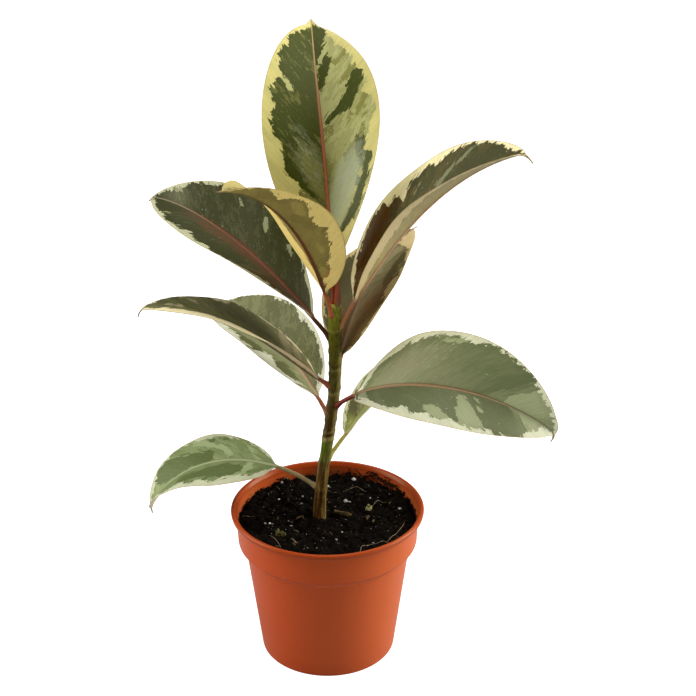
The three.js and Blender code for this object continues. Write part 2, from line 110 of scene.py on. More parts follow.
# How each leaf is patterned. Places on it are percentages: along it 0 is the blade's base and 100 its tip;
# across it 100 is the left margin, seen along the leaf from above, and -100 the right one.
# left, right: width of the cream margin on that side, at places along it.
# base: tone of the left and the right half, 0 dark green, 0.5 grey-green, 1 pale.
# light: painted light, how much lighter or darker each half is painted than the colours below, for how the
# light falls on it, at its base and at its tip.
# washes: (along, across, half length, half width, tone), soft changes of that tone.
# dark, mid, pale: strokes of one tone from one place on the leaf to another, as (along, across, along,
# across, half width at the start and at the end in mm).
# tints: (along, across, half length, half width, strength) of the leaf's one special colour; on leaf_04 and
# leaf_10 it is a silvery grey-green, partly the leaf's own colour and partly a painted sheen.
PATTERNS = {
    "leaf_01": dict(
        left={0: 30, 4: 41, 10: 43, 14: 36, 26: 30, 33: 27, 36: 18, 40: 13, 48: 22, 50: 16, 55: 14, 60: 30,
              63: 20, 77: 16, 81: 45, 85: 85, 87: 100, 100: 100},
        right={0: 60, 4: 50, 10: 30, 15: 10, 24: 6, 30: 10, 36: 7, 43: 10, 53: 9, 67: 4, 69: 9, 80: 3,
               82: 30, 87: 45, 92: 60, 95: 100},
        base=(0.43, 0.52),
        dark=[(26, 45, 58, 50, 6, 5), (44, 78, 54, 78, 1.6, 1.6), (36, -78, 43, -80, 1.4, 1.4),
              (45, -20, 75, -50, 5, 8), (18, -62, 22, -85, 1.6, 1.6)],
        pale=[(17, 15, 19, 55, 2.2, 2.6), (19, 60, 27, 78, 2.2, 1.8), (12, -20, 25, -80, 0.9, 1.4),
              (31, -18, 37, -50, 1.8, 2.6), (37, -45, 45, -65, 1.8, 2.2), (46, -66, 52, -80, 2.2, 2.2)],
        tints=[(86, -25, 6, 40, 0.8), (24, -85, 8, 14, 0.6)]),
    "leaf_02": dict(
        left={0: 40, 20: 20, 50: 12, 80: 16, 93: 40, 100: 100},
        right={0: 30, 20: 20, 50: 12, 80: 15, 93: 40, 100: 100},
        base=(0.35, 0.5),
        dark=[(14, 50, 30, 62, 5, 5), (62, 50, 70, 70, 5, 5), (68, -20, 76, -60, 4, 4)],
        pale=[(38, -5, 27, -80, 1.3, 2.6), (55, -30, 62, -70, 2, 4), (44, 30, 52, 80, 2, 3)],
        tints=[(5, -20, 9, 90, 0.85), (16, -50, 10, 50, 0.7)]),
    "leaf_03": dict(
        left={0: 40, 8: 20, 13: 10, 19: 8, 22: 25, 27: 45, 30: 30, 32: 10, 40: 5, 45: 15, 50: 20, 60: 12,
              82: 16, 92: 45, 100: 100},
        right={0: 40, 8: 40, 12: 20, 20: 10, 30: 8, 38: 16, 44: 13, 50: 6, 80: 5, 88: 30, 93: 70, 100: 100},
        base=(0.5, 0.15),
        washes=[(70, -50, 10, 60, 0.4), (14, 40, 12, 70, 0.4)],
        dark=[(12, 75, 20, 62, 4, 4), (33, 75, 44, 82, 3, 3), (25, -20, 29, -50, 1.6, 1.6),
              (35, -15, 40, -40, 2, 2), (60, 40, 72, 70, 5, 5)],
        mid=[(74, -30, 84, -60, 2, 2)],
        pale=[(40, 30, 50, 60, 2.5, 4)],
        tints=[(20, -5, 20, 16, 0.5)]),
    "leaf_04": dict(
        left={0: 100, 4: 60, 8: 40, 12: 22, 20: 15, 40: 11, 45: 10, 52: 12, 58: 6, 76: 3, 80: 10, 84: 24,
              90: 25, 93: 30, 96: 70, 100: 100},
        right={0: 60, 3: 30, 8: 20, 12: 28, 19: 18, 24: 10, 30: 13, 31.5: 32, 34: 25, 37.5: 16, 43: 22,
               45: 11, 55: 18, 60: 10, 69: 12, 75: 4, 79: 0, 83: 3, 85: 20, 87: 45, 90: 70, 94: 100},
        base=(0.5, 0.1), light=((1.6, 1.6), (0.85, 0.85)),
        washes=[(58, 50, 14, 70, 0.25), (86, 50, 10, 90, 0.95), (92, -20, 10, 50, 0.9)],
        dark=[(60, 12, 70, 50, 3, 4), (70, 50, 77.5, 93, 4, 3), (45, -15, 57, -60, 2.4, 2.6),
              (66, -25, 72, -80, 3.5, 5), (72, -20, 78, -85, 5, 5)],
        mid=[(10, 72, 30, 84, 1.6, 1.6), (13, -12, 24, -90, 1, 1.4)],
        pale=[(42, 82, 54, 93, 1.4, 1.6), (74, 10, 86, 70, 4, 8), (6, -30, 10, -60, 1.5, 2),
              (43, -60, 52, -90, 3.6, 4.6), (54, -25, 62, -90, 3, 8), (59, -6, 63, -40, 0.8, 2),
              (80, -6, 87, -50, 2.5, 5), (86, -10, 95, -30, 3, 3)],
        tints=[(27, 36, 11, 34, 0.85), (45, 20, 20, 25, 0.35)]),
    "leaf_05": dict(
        left={0: 50, 3: 90, 40: 90, 70: 70, 90: 60, 100: 100},
        right={0: 35, 5: 25, 10: 5, 37: 2, 42: 8, 47: 4, 53: 5, 55: 16, 60: 12, 63: 3, 85: 2, 92: 30,
               100: 100},
        base=(0.1, 0.4), light=((1.3, 1.5), (1, 1)),
        washes=[(82, -50, 13, 90, 0.1)],
        dark=[(11, -85, 13, -95, 1, 1)],
        pale=[(14, -35, 16, -95, 2, 3), (20, -30, 24, -85, 3, 4), (63, -25, 72, -70, 0.6, 1.8),
              (78, -12, 84, -28, 0.8, 1)],
        tints=[(8, -20, 6, 50, 0.5)]),
    "leaf_06": dict(
        left={0: 10, 30: 10, 60: 14, 75: 30, 90: 60, 100: 100},
        right={0: 10, 36: 8, 40: 15, 43: 22, 50: 20, 53: 8, 60: 5, 67: 8, 70: 12, 75: 25, 77: 60, 78.5: 85,
               100: 100},
        base=(-0.1, 0.5),
        washes=[(30, -15, 20, 20, 0.6)],
        dark=[(50, -62, 68, -75, 4, 3)],
        mid=[(55, 30, 65, 50, 3, 3)],
        pale=[(56, -15, 72, -32, 2.4, 4.5)],
        tints=[(12, -40, 27, 90, 0.75)]),
    "leaf_07": dict(
        left={0: 50, 8: 25, 14: 14, 20: 16, 30: 12, 35: 10, 39: 2, 45: 4, 49: 14, 54: 10, 56: 20, 59: 22,
              62: 12, 83: 14, 88: 24, 92: 45, 95: 70, 100: 100},
        right={0: 40, 10: 20, 17: 10, 20: 3, 50: 2, 66: 5, 80: 10, 84: 18, 92: 40, 100: 100},
        base=(0.08, 0.12),
        washes=[(82, -40, 7, 40, 0.4)],
        mid=[(28, 60, 33, 75, 1.5, 1.5)],
        pale=[(40, -55, 44, -74, 0.4, 0.7), (55, -66, 57, -76, 0.6, 0.7), (27, -70, 30, -82, 0.5, 0.6),
              (81.5, -60, 85, -75, 0.6, 1.4), (75.5, 60, 77.5, 70, 0.5, 0.5)],
        tints=[(40, 14, 32, 22, 0.6), (10, 50, 14, 60, 0.5)]),
    "leaf_08": dict(
        left={0: 60, 4: 40, 7: 25, 14: 16, 19: 10, 24: 7, 31: 4, 32.7: 6, 33: 24, 35: 27, 37.5: 22, 39: 28,
              40: 45, 42: 35, 45: 23, 50: 16, 53: 14, 57: 23, 60: 17, 66: 10, 72: 3, 80: 6, 85: 15,
              87.5: 35, 90: 36, 93: 50, 95: 70, 100: 100},
        right={0: 60, 28: 50, 42: 40, 62: 30, 75: 20, 92: 40, 100: 100},
        base=(0.17, 0.45), light=((1.08, 0.8), (1, 1)),
        washes=[(30, -50, 6, 40, 0.7)],
        dark=[(68, 30, 85, 55, 5, 5)],
        mid=[(40, 50, 45, 62, 2, 2)],
        pale=[(56.5, 30, 74, 88, 1.6, 1.8), (46.5, 50, 48.5, 62, 0.6, 0.6)],
        tints=[(19, 70, 17, 50, 0.9)]),
    "leaf_09": dict(
        left={0: 90, 6: 72, 9: 63, 15: 50, 20: 60, 23: 43, 30: 32, 34: 27, 35: 38, 40: 30, 43: 18, 44: 40,
              48: 52, 50: 45, 54: 34, 57.5: 20, 61: 14, 66: 11, 67.5: 25, 69.5: 55, 74: 39, 77.5: 23,
              81: 5, 88: 3, 100: 30},
        right={0: 80, 30: 65, 50: 50, 70: 45, 85: 55, 100: 100},
        base=(0.4, 0.5),
        dark=[(44, 40, 53, 25, 3, 3), (68, 45, 78, 35, 4, 4), (32, 60, 34, 45, 1.2, 1.2),
              (40, 65, 43, 75, 1, 1), (15, 30, 16, 50, 1, 1)],
        pale=[(13, 25, 19, 20, 2.4, 2), (27, 40, 32, 35, 1.6, 1.6), (55, 50, 62, 60, 2.4, 3)],
        tints=[(3, 30, 7, 90, 0.7), (20, -5, 25, 14, 0.6)]),
    "leaf_10": dict(
        left={0: 95, 20: 90, 29: 50, 34.5: 44, 37.5: 30, 40: 25, 42.5: 33, 45: 28, 49: 31, 52: 20, 55: 17,
              57.5: 14, 60: 16, 62.5: 20, 64.5: 13, 70: 13, 71.5: 16, 72.5: 30, 74: 30, 75.5: 22, 78: 16,
              81: 11, 87.5: 20, 89.5: 10, 90.5: 22, 93: 35, 96.5: 80, 100: 100},
        right={0: 90, 10: 60, 14: 45, 17: 25, 20: 13, 25: 5, 40: 5, 42.5: 8, 43: 20, 44: 25, 46: 20,
               50: 14, 60: 10, 63: 12, 65: 24, 70: 12, 73: 10, 74.5: 20, 79: 25, 83: 20, 86: 35, 90: 45,
               93: 35, 95.5: 40, 97: 70, 100: 100},
        base=(0.08, 0.85),
        washes=[(36, 12, 10, 30, 0.35)],
        dark=[(15, -60, 24, -80, 4, 3.6), (25, -83, 42, -86, 3.2, 3), (42, -70, 48, -66, 2.8, 3),
              (56, -10, 61, -40, 2, 2.8), (61, -40, 72.5, -80, 3.6, 4.4), (70, -4, 80, -20, 2, 4),
              (80, -12, 94.5, -30, 4, 5)],
        mid=[(24, 15, 30, 50, 2.5, 2.5), (42, -45, 46, -50, 2.8, 2.8), (49, -5, 54, -14, 1.6, 2.2),
             (55, -35, 57, -50, 1.4, 1.4), (50, -70, 56, -76, 2, 2), (57, -62, 64, -82, 1.8, 2.2),
             (70, -40, 77, -78, 1.8, 2.6), (79, -45, 83, -76, 1.8, 2.8)],
        pale=[(74.5, 80, 69, 50, 1.8, 0.9), (80.5, -15, 89, -50, 1, 1.6)],
        tints=[(30, -38, 11.5, 36, 0.9), (43, 30, 12, 30, 0.22)]),
}

# Colours of each leaf as seen on a screen: upper side dark, grey-green, pale and cream; lower side leaf
# and cream; midrib, petiole, and the special colour of the tints. They are partly each leaf's own colours and
# partly painted light: lighter or darker leaf by leaf for how the light falls on it and shines through it.
LEAF_COLOURS = {
    "leaf_01": dict(dark=(92, 105, 59), mid=(128, 140, 92), pale=(158, 170, 123), cream=(198, 200, 166),
                    under=(150, 155, 110), under_cream=(215, 212, 180), rib=(160, 168, 122),
                    petiole=(158, 140, 98), tint=(138, 151, 90)),
    "leaf_02": dict(dark=(94, 91, 56), mid=(146, 147, 100), pale=(140, 150, 102), cream=(217, 215, 172),
                    under=(140, 140, 92), under_cream=(205, 200, 150), rib=(165, 165, 100),
                    petiole=(150, 140, 66), tint=(156, 163, 78)),
    "leaf_03": dict(dark=(90, 92, 55), mid=(128, 130, 90), pale=(150, 154, 112), cream=(208, 208, 182),
                    under=(140, 142, 104), under_cream=(205, 200, 165), rib=(165, 140, 110),
                    petiole=(150, 84, 54), tint=(150, 116, 84)),
    "leaf_04": dict(dark=(97, 104, 71), mid=(110, 115, 80), pale=(150, 156, 117), cream=(206, 207, 176),
                    under=(136, 138, 107), under_cream=(175, 175, 138), rib=(152, 124, 90),
                    petiole=(116, 40, 32), tint=(116, 116, 86)),
    # leaf_05's dark edge colour is painted shade along its margins
    "leaf_05": dict(dark=(78, 80, 45), mid=(114, 112, 73), pale=(146, 136, 100), cream=(205, 193, 150),
                    under=(128, 118, 86), under_cream=(190, 165, 122), rib=(104, 98, 64),
                    petiole=(158, 84, 58), tint=(136, 116, 82), edge=(74, 60, 34)),
    "leaf_06": dict(dark=(76, 70, 36), mid=(112, 103, 70), pale=(134, 126, 90), cream=(196, 175, 127),
                    under=(88, 80, 52), under_cream=(205, 180, 135), rib=(130, 100, 75),
                    petiole=(168, 88, 60), tint=(111, 77, 32)),
    "leaf_07": dict(dark=(50, 52, 24), mid=(80, 81, 50), pale=(140, 142, 108), cream=(182, 182, 145),
                    under=(100, 98, 66), under_cream=(190, 185, 145), rib=(112, 60, 42),
                    petiole=(76, 44, 24), tint=(84, 50, 30)),
    "leaf_08": dict(dark=(70, 70, 42), mid=(102, 88, 50), pale=(124, 126, 92), cream=(250, 236, 184),
                    under=(148, 134, 82), under_cream=(187, 167, 121), rib=(190, 140, 110),
                    petiole=(194, 130, 88), tint=(88, 51, 5), edge=(128, 96, 56)),
    "leaf_09": dict(dark=(92, 86, 53), mid=(118, 110, 67), pale=(128, 122, 80), cream=(186, 170, 105),
                    under=(153, 137, 71), under_cream=(249, 221, 136), rib=(112, 68, 38),
                    petiole=(186, 106, 64), tint=(186, 108, 60)),
    "leaf_10": dict(dark=(60, 67, 11), mid=(133, 131, 67), pale=(176, 175, 113), cream=(207, 196, 121),
                    under=(160, 151, 96), under_cream=(192, 182, 114), rib=(176, 104, 72),
                    petiole=(136, 48, 20), tint=(160, 167, 134)),
}


# ---------- Small helpers ----------
def smooth(low, high, x):
    t = np.clip((x - low) / (high - low), 0, 1)
    return t * t * (3 - 2 * t)


def bend(values, t):
    """A value that goes from the first of three to the last, drawn towards the middle one."""
    a, b, c = values
    return a * (1 - t) ** 2 + 2 * b * t * (1 - t) + c * t * t


def mix(pair, t):
    return pair[0] + (pair[1] - pair[0]) * t


def circle(count):
    """Angles of evenly spaced points round a circle."""
    return np.linspace(0, 2 * np.pi, count, endpoint=False)


def ring(radius, angle, z):
    """Points round +Z at a height."""
    return np.stack([radius * np.cos(angle), radius * np.sin(angle), z + 0 * angle], 1)


def turned(points, angle):
    """Points turned about +Z."""
    c, s = math.cos(angle), math.sin(angle)
    return points @ np.array([[c, s, 0], [-s, c, 0], [0, 0, 1]])


def screen(colour):
    """A colour given as on a screen, 0 to 255, in the linear values that shaders take."""
    share = [value / 255 for value in colour]
    return tuple(v / 12.92 if v <= 0.04045 else ((v + 0.055) / 1.055) ** 2.4 for v in share)


def dimmed(colour, share):
    return tuple(share * value for value in colour)


def mesh_object(name, points, faces, material, slot, node=None, shade_smooth=True):
    """Make a piece from points in millimetres, put it on the root body, and hide the CAD node that it is
    built for.
    """
    mesh = bpy.data.meshes.new(name)
    mesh.from_pydata((np.asarray(points) * MM).tolist(), [], faces)
    mesh.validate()
    mesh.polygons.foreach_set("use_smooth", [shade_smooth] * len(mesh.polygons))
    mesh.materials.append(material)
    piece = bpy.data.objects.new(name, mesh)
    bpy.context.collection.objects.link(piece)
    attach(piece, "root")
    if node:
        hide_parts(node)
    return piece


def add_values(piece, name, values, kind="FLOAT"):
    """Give each point of the piece a number or a vector that its material reads."""
    attribute = piece.data.attributes.new(name, kind, "POINT")
    flat = np.asarray(values, dtype=np.float32).ravel()
    attribute.data.foreach_set("vector" if kind == "FLOAT_VECTOR" else "value", flat)


def ring_faces(rings, size):
    """Quads between neighbouring rings of points, and one face over each end."""
    faces = []
    for i in range(rings - 1):
        for j in range(size):
            a, b = i * size + j, i * size + (j + 1) % size
            faces.append((a, b, b + size, a + size))
    last = (rings - 1) * size
    return faces + [tuple(range(size))[::-1], tuple(range(last, last + size))]


class Shader:
    """One material's node tree, with short names for the nodes that the finishes use."""

    def __init__(self, name):
        self.material = bpy.data.materials.new(name)
        self.material.use_nodes = True
        self.tree = self.material.node_tree
        self.surface = self.tree.nodes["Principled BSDF"]

    def node(self, kind, **settings):
        made = self.tree.nodes.new(kind)
        for key, value in settings.items():
            setattr(made, key, value)
        return made

    def put(self, socket, value):
        """Link a socket's value to another socket, or set it."""
        if isinstance(value, bpy.types.NodeSocket):
            self.tree.links.new(value, socket)
        elif isinstance(value, (tuple, list)) and len(value) == 3 and socket.type == "RGBA":
            socket.default_value = (*value, 1)
        else:
            socket.default_value = value

    def set(self, **sockets):
        for key, value in sockets.items():
            self.put(self.surface.inputs[key.replace("_", " ")], value)

    def value(self, name):
        return self.node("ShaderNodeAttribute", attribute_name=name).outputs["Fac"]

    def vector(self, name):
        return self.node("ShaderNodeAttribute", attribute_name=name).outputs["Vector"]

    def place(self):
        return self.node("ShaderNodeTexCoord").outputs["Object"]

    def math(self, operation, a, b=0.0, c=0.0, clamp=False):
        made = self.node("ShaderNodeMath", operation=operation, use_clamp=clamp)
        for socket, value in zip(made.inputs, (a, b, c)):
            self.put(socket, value)
        return made.outputs[0]

    def scaled(self, vector, scale, shift):
        made = self.node("ShaderNodeMapping")
        self.put(made.inputs["Vector"], vector)
        made.inputs["Scale"].default_value = scale
        made.inputs["Location"].default_value = shift
        return made.outputs[0]

    def noise(self, vector, scale=1.0, shift=(0, 0, 0), detail=2.0, roughness=0.5, output="Fac"):
        """Noise with one scale, or with one for each axis and a shift."""
        made = self.node("ShaderNodeTexNoise")
        if isinstance(scale, tuple):
            vector, scale = self.scaled(vector, scale, shift), 1.0
        for key, value in dict(Vector=vector, Scale=scale, Detail=detail, Roughness=roughness).items():
            self.put(made.inputs[key], value)
        return made.outputs[output]

    def cells(self, vector):
        made = self.node("ShaderNodeTexVoronoi")
        self.put(made.inputs["Vector"], vector)
        made.inputs["Scale"].default_value = 1.0
        return made

    def part(self, colour, channel="Red"):
        made = self.node("ShaderNodeSeparateColor")
        self.put(made.inputs[0], colour)
        return made.outputs[channel]

    def step(self, value, low, high, start=0.0, end=1.0):
        made = self.node("ShaderNodeMapRange", interpolation_type="SMOOTHSTEP")
        for socket, given in zip(made.inputs, (value, low, high, start, end)):
            self.put(socket, given)
        return made.outputs["Result"]

    def blend(self, factor, a, b):
        made = self.node("ShaderNodeMix", data_type="RGBA")
        self.put(made.inputs["Factor"], factor)
        for socket, colour in zip([s for s in made.inputs if s.type == "RGBA"], (a, b)):
            self.put(socket, colour)
        return [socket for socket in made.outputs if socket.type == "RGBA"][0]

    def layered(self, colour, layers):
        """A colour with others laid over it, each with its strength."""
        for strength, other in layers:
            colour = self.blend(strength, colour, other)
        return colour

    def times(self, colour, factor):
        made = self.node("ShaderNodeVectorMath", operation="SCALE")
        self.put(made.inputs[0], colour)
        self.put(made.inputs["Scale"], factor)
        return made.outputs[0]

    def ramp(self, value, colours):
        """Evenly spaced colours with straight blends between them."""
        made = self.node("ShaderNodeValToRGB")
        self.put(made.inputs[0], value)
        stops = made.color_ramp.elements
        for _ in range(len(colours) - 2):
            stops.new(0.5)
        for i, colour in enumerate(colours):
            stops[i].position = i / (len(colours) - 1)
            stops[i].color = (*colour, 1)
        return made.outputs["Color"]

    def bump(self, height, strength, distance):
        made = self.node("ShaderNodeBump")
        self.put(made.inputs["Height"], height)
        made.inputs["Strength"].default_value = strength
        made.inputs["Distance"].default_value = distance
        self.put(self.surface.inputs["Normal"], made.outputs["Normal"])


# ---------- Stem path, shared by the stem and the leaves ----------
STEM_X = -5.0                    # where the stem leaves the soil; it leans right and back from there
HEAP_Y = -2.0                    # the soil is heaped up a little in front of the stem


def stem_at(z):
    return np.stack([STEM_X + 10 * smooth(88, 190, z), 4 * smooth(88, 170, z), z], -1)


def stem_radius(z):
    low = 4.4 - 0.7 * smooth(84, 120, z)
    high = 3.7 + 0.3 * smooth(150, 215, z)
    rings = [leaf["node"] - 1 for leaf in LEAVES.values()] + list(LEAF_SCARS)
    swell = sum(np.exp(-(((z - height) / 1.6) ** 2)) for height in rings)
    return np.where(z < 120, low, high) + STEM_NODE_RISE * np.minimum(1, swell)


# ---------- Leaves: shape ----------
PETIOLE_STATIONS, BLADE_STATIONS = 14, 130
HALF_COLUMNS = np.concatenate([[0, 0.02, 0.045, 0.08, 0.12], np.arange(0.17, 0.85, 0.05),
                               [0.86, 0.9, 0.94, 0.975, 1]])
COLUMNS = np.concatenate([-HALF_COLUMNS[:0:-1], HALF_COLUMNS])      # from the right margin to the left
OVAL_END = 0.965                 # share of the blade where its oval ends and the drip tip goes on
DRIP_WIDTH = 0.16                # half width of the drip tip's root, as a share of the blade's
TIP_WIDTH = 0.25                 # mm
MARGIN_WAVE = 0.5                # mm


def midrib(leaf):
    """Equally spaced points along the midrib with the blade's side and upper directions."""
    t = np.linspace(0, 1, MIDRIB_STEPS + 1)
    step = (leaf["petiole"] + leaf["blade"]) / MIDRIB_STEPS
    hook = leaf.get("hook", 0) * smooth(HOOK_START, 1, t)
    a, e = np.radians(bend(leaf["azimuth"], t)), np.radians(bend(leaf["rise"], t) + hook)
    heading = np.stack([np.cos(e) * np.cos(a), np.cos(e) * np.sin(a), np.sin(e)], 1)
    start = stem_at(np.float64(leaf["node"])) + leaf["offset"] * np.array([np.cos(a[0]), np.sin(a[0]), 0])
    moves = np.vstack([np.zeros(3), (heading[1:] + heading[:-1]) / 2 * step])
    side = np.stack([-np.sin(a), np.cos(a), 0 * a], 1)
    return start + np.cumsum(moves, 0), side, np.cross(heading, side)


def half_width(leaf, b):
    """Half the blade's width at b, the share of its length from the base."""
    b = np.clip(b, 0, 1)
    oval = np.sin(np.pi * np.clip(b / OVAL_END, 0, 1) ** leaf["fullness"])
    oval = np.maximum(0, oval) ** leaf["taper"]
    drip = np.where(b > 0.5, np.minimum(DRIP_WIDTH, leaf["tip"] * (1 - b)), 0)
    return leaf["half_width"] * (oval**4 + drip**4) ** 0.25


def across(leaf, b, u):
    """Distance out along the side and rise, for a point at u (0 to 1) across one half."""
    fold, curl = np.radians(mix(leaf["fold"], b)), math.radians(leaf["curl"])
    if curl == 0:
        return u * np.cos(fold), u * np.sin(fold)
    return (np.sin(fold + curl * u) - np.sin(fold)) / curl, (np.cos(fold) - np.cos(fold + curl * u)) / curl


def stations(leaf):
    """Distances along the leaf of its rings of points, closer together at the blade's ends."""
    even = np.linspace(0, 1, BLADE_STATIONS)
    blade = leaf["petiole"] + leaf["blade"] * (0.6 * even + 0.4 * (0.5 - 0.5 * np.cos(np.pi * even)))
    return np.concatenate([np.linspace(0, leaf["petiole"] * 0.95, PETIOLE_STATIONS, endpoint=False), blade])


def rolled_midrib(leaf, s, on):
    """The midrib at the stations s, with the blade's side and upper directions after its roll."""
    steps = s / (leaf["petiole"] + leaf["blade"]) * MIDRIB_STEPS
    whole = np.arange(MIDRIB_STEPS + 1)
    at, side, up = (np.stack([np.interp(steps, whole, rows[:, k]) for k in range(3)], 1)
                    for rows in midrib(leaf))
    roll = np.radians(mix(leaf["roll"], on))[:, None]
    return at, side * np.cos(roll) + up * np.sin(roll), up * np.cos(roll) - side * np.sin(roll)


def blade_section(leaf, b, on, u, under):
    """Where the blade's skin lies: out to the side, up, and along the skin, with the half width."""
    width = np.maximum(half_width(leaf, on), np.where(b > 0.5, TIP_WIDTH, 0.0))[:, None]
    on = on[:, None]
    out, rise = across(leaf, on, np.abs(u)[None, :])
    arc = u[None, :] * width
    # the blade is thinner at its margin, the midrib is a groove above and a ridge below
    half = BLADE_THICKNESS / 2 * (1 - 0.75 * np.abs(u) ** 6)
    rib = (1 - on) ** 0.7
    ridge = np.exp(-((arc / (RIB_HALF_WIDTH * (1 - 0.6 * on))) ** 2))
    depth = np.where(under > 0, -half - RIB_DEPTH * rib * ridge, half - 0.35 * rib * ridge)
    # the margin waves a little
    wave = np.sin(on * 17 + 2 * np.sign(u) + leaf["node"]) * np.abs(u) ** 3
    z = rise * width + depth + MARGIN_WAVE * wave * np.sin(np.pi * on)
    return np.sign(u) * out * width, z, arc, width


def leaf_points(leaf):
    """Points of the leaf's skin, ring after ring, with their places on the leaf."""
    s = stations(leaf)
    b = (s - leaf["petiole"]) / leaf["blade"]
    on = np.clip(b, 0, 1)
    at, side, up = rolled_midrib(leaf, s, on)
    under = np.repeat([0.0, 1.0], len(COLUMNS))
    u = np.concatenate([COLUMNS, COLUMNS[::-1]])
    x, z, arc, width = blade_section(leaf, b, on, u, under)
    # the petiole's round section turns into the blade's
    angle = np.pi * (1 - (np.arange(len(COLUMNS)) + 0.5) / len(COLUMNS))
    angle = np.concatenate([angle, -angle[::-1]])
    foot = mix((PETIOLE_FOOT_RADIUS, PETIOLE_RADIUS), smooth(0, FOOT_LENGTH, s))[:, None]
    flat = smooth(-0.03, 0.07, b)[:, None]
    x = foot * np.cos(angle) * (1 - flat) + x * flat
    z = foot * np.sin(angle) * (1 - flat) + z * flat
    points = at[:, None, :] + x[..., None] * side[:, None, :] + z[..., None] * up[:, None, :]
    places = dict(b=b[:, None], u=u, arc=arc, width=width, under=under)
    return dict(points=points, **{key: np.broadcast_to(values, x.shape) for key, values in places.items()})


# ---------- Leaves: pattern ----------
STROKE_TONES = dict(dark=0.0, mid=0.5, pale=1.0)      # painted in this order
OUTSIDE = -9.0                                        # a stroke's depth far from it
EVEN_PAINTED_LIGHT = ((1, 1), (1, 1))


def vein_of(leaf, b, arc):
    """Where on the midrib the side vein through this point starts, in millimetres."""
    return b * leaf["blade"] - VEIN_LEAN * np.abs(arc)


def patch_distance(leaf, on_leaf, place):
    """0 at the centre of a patch slanted along the side veins, 1 at its edge."""
    b, u, length, breadth = np.array(place) / 100
    vein = vein_of(leaf, b, u * half_width(leaf, b))
    here = vein_of(leaf, on_leaf["b"], on_leaf["arc"])
    return ((here - vein) / (length * leaf["blade"])) ** 2 + ((on_leaf["u"] - u) / breadth) ** 2


def stroke_depth(leaf, on_leaf, stroke):
    """How far inside a stroke each point lies, in millimetres on the flattened leaf; negative outside."""
    b0, u0, b1, u1 = np.array(stroke[:4]) / 100
    x0, y0 = b0 * leaf["blade"], u0 * half_width(leaf, b0)
    dx, dy = b1 * leaf["blade"] - x0, u1 * half_width(leaf, b1) - y0
    x, y = on_leaf["b"] * leaf["blade"] - x0, on_leaf["arc"] - y0
    t = np.clip((x * dx + y * dy) / (dx * dx + dy * dy), 0, 1)
    depth = mix(stroke[4:], t) - np.hypot(x - t * dx, y - t * dy)
    return np.where(on_leaf["u"] * (u0 + u1) > 0, depth, OUTSIDE)


def share_along(stops, along):
    """Percentages given at stops along the leaf, as shares that change evenly between them."""
    return np.interp(along, np.array(list(stops)) / 100, np.array(list(stops.values())) / 100)


def pattern_fields(leaf, pattern, on_leaf):
    """How far each point is inside the cream margin and the strokes, the green's tone, painted light and
    tint.
    """
    u, along = on_leaf["u"], np.clip(on_leaf["b"], 0, 1)
    margin = np.where(u > 0, share_along(pattern["left"], along), share_along(pattern["right"], along))
    # painted light of each half, from its base to its tip
    lights = [mix(pair, along) for pair in pattern.get("light", EVEN_PAINTED_LIGHT)]
    fields = dict(cream=(margin - (1 - np.abs(u))) * on_leaf["width"],
                  tone=np.where(u > 0, *pattern["base"]), light=np.where(u > 0, *lights), tint=0 * u)
    for *place, tone in pattern.get("washes", []):
        change = (tone - fields["tone"]) / (1 + patch_distance(leaf, on_leaf, place) ** 3)
        fields["tone"] = fields["tone"] + change
    for *place, strength in pattern["tints"]:
        spot = strength * np.exp(-patch_distance(leaf, on_leaf, place) ** 2)
        fields["tint"] = np.maximum(fields["tint"], spot)
    for kind in STROKE_TONES:
        depths = [stroke_depth(leaf, on_leaf, stroke) for stroke in pattern.get(kind, [])]
        fields[kind] = np.maximum.reduce([OUTSIDE + 0 * u] + depths)
    return fields


# ---------- Leaves: finish ----------
# Cells that break up the patches: how fine along the leaf and along its side veins, and a shift.
PATCH_CELLS = [(0.20, 0.12, 0), (0.5, 0.28, 9), (1.3, 0.8, 5)]
# How far those cells, large to small, and a broad noise move a field's edge, in mm or in tone.
CREAM_BREAKUP, STROKE_BREAKUP = (3.0, 2.2, 1.0, 2.5), (2.4, 1.6, 0.8, 2.0)
TONE_BREAKUP, TINT_BREAKUP = (0.16, 0.14, 0.08, 0.2), (0.3, 0.3, 0.25, 0.2)
EDGE_COLOUR, DUST_COLOUR = screen((176, 132, 84)), screen((205, 205, 190))


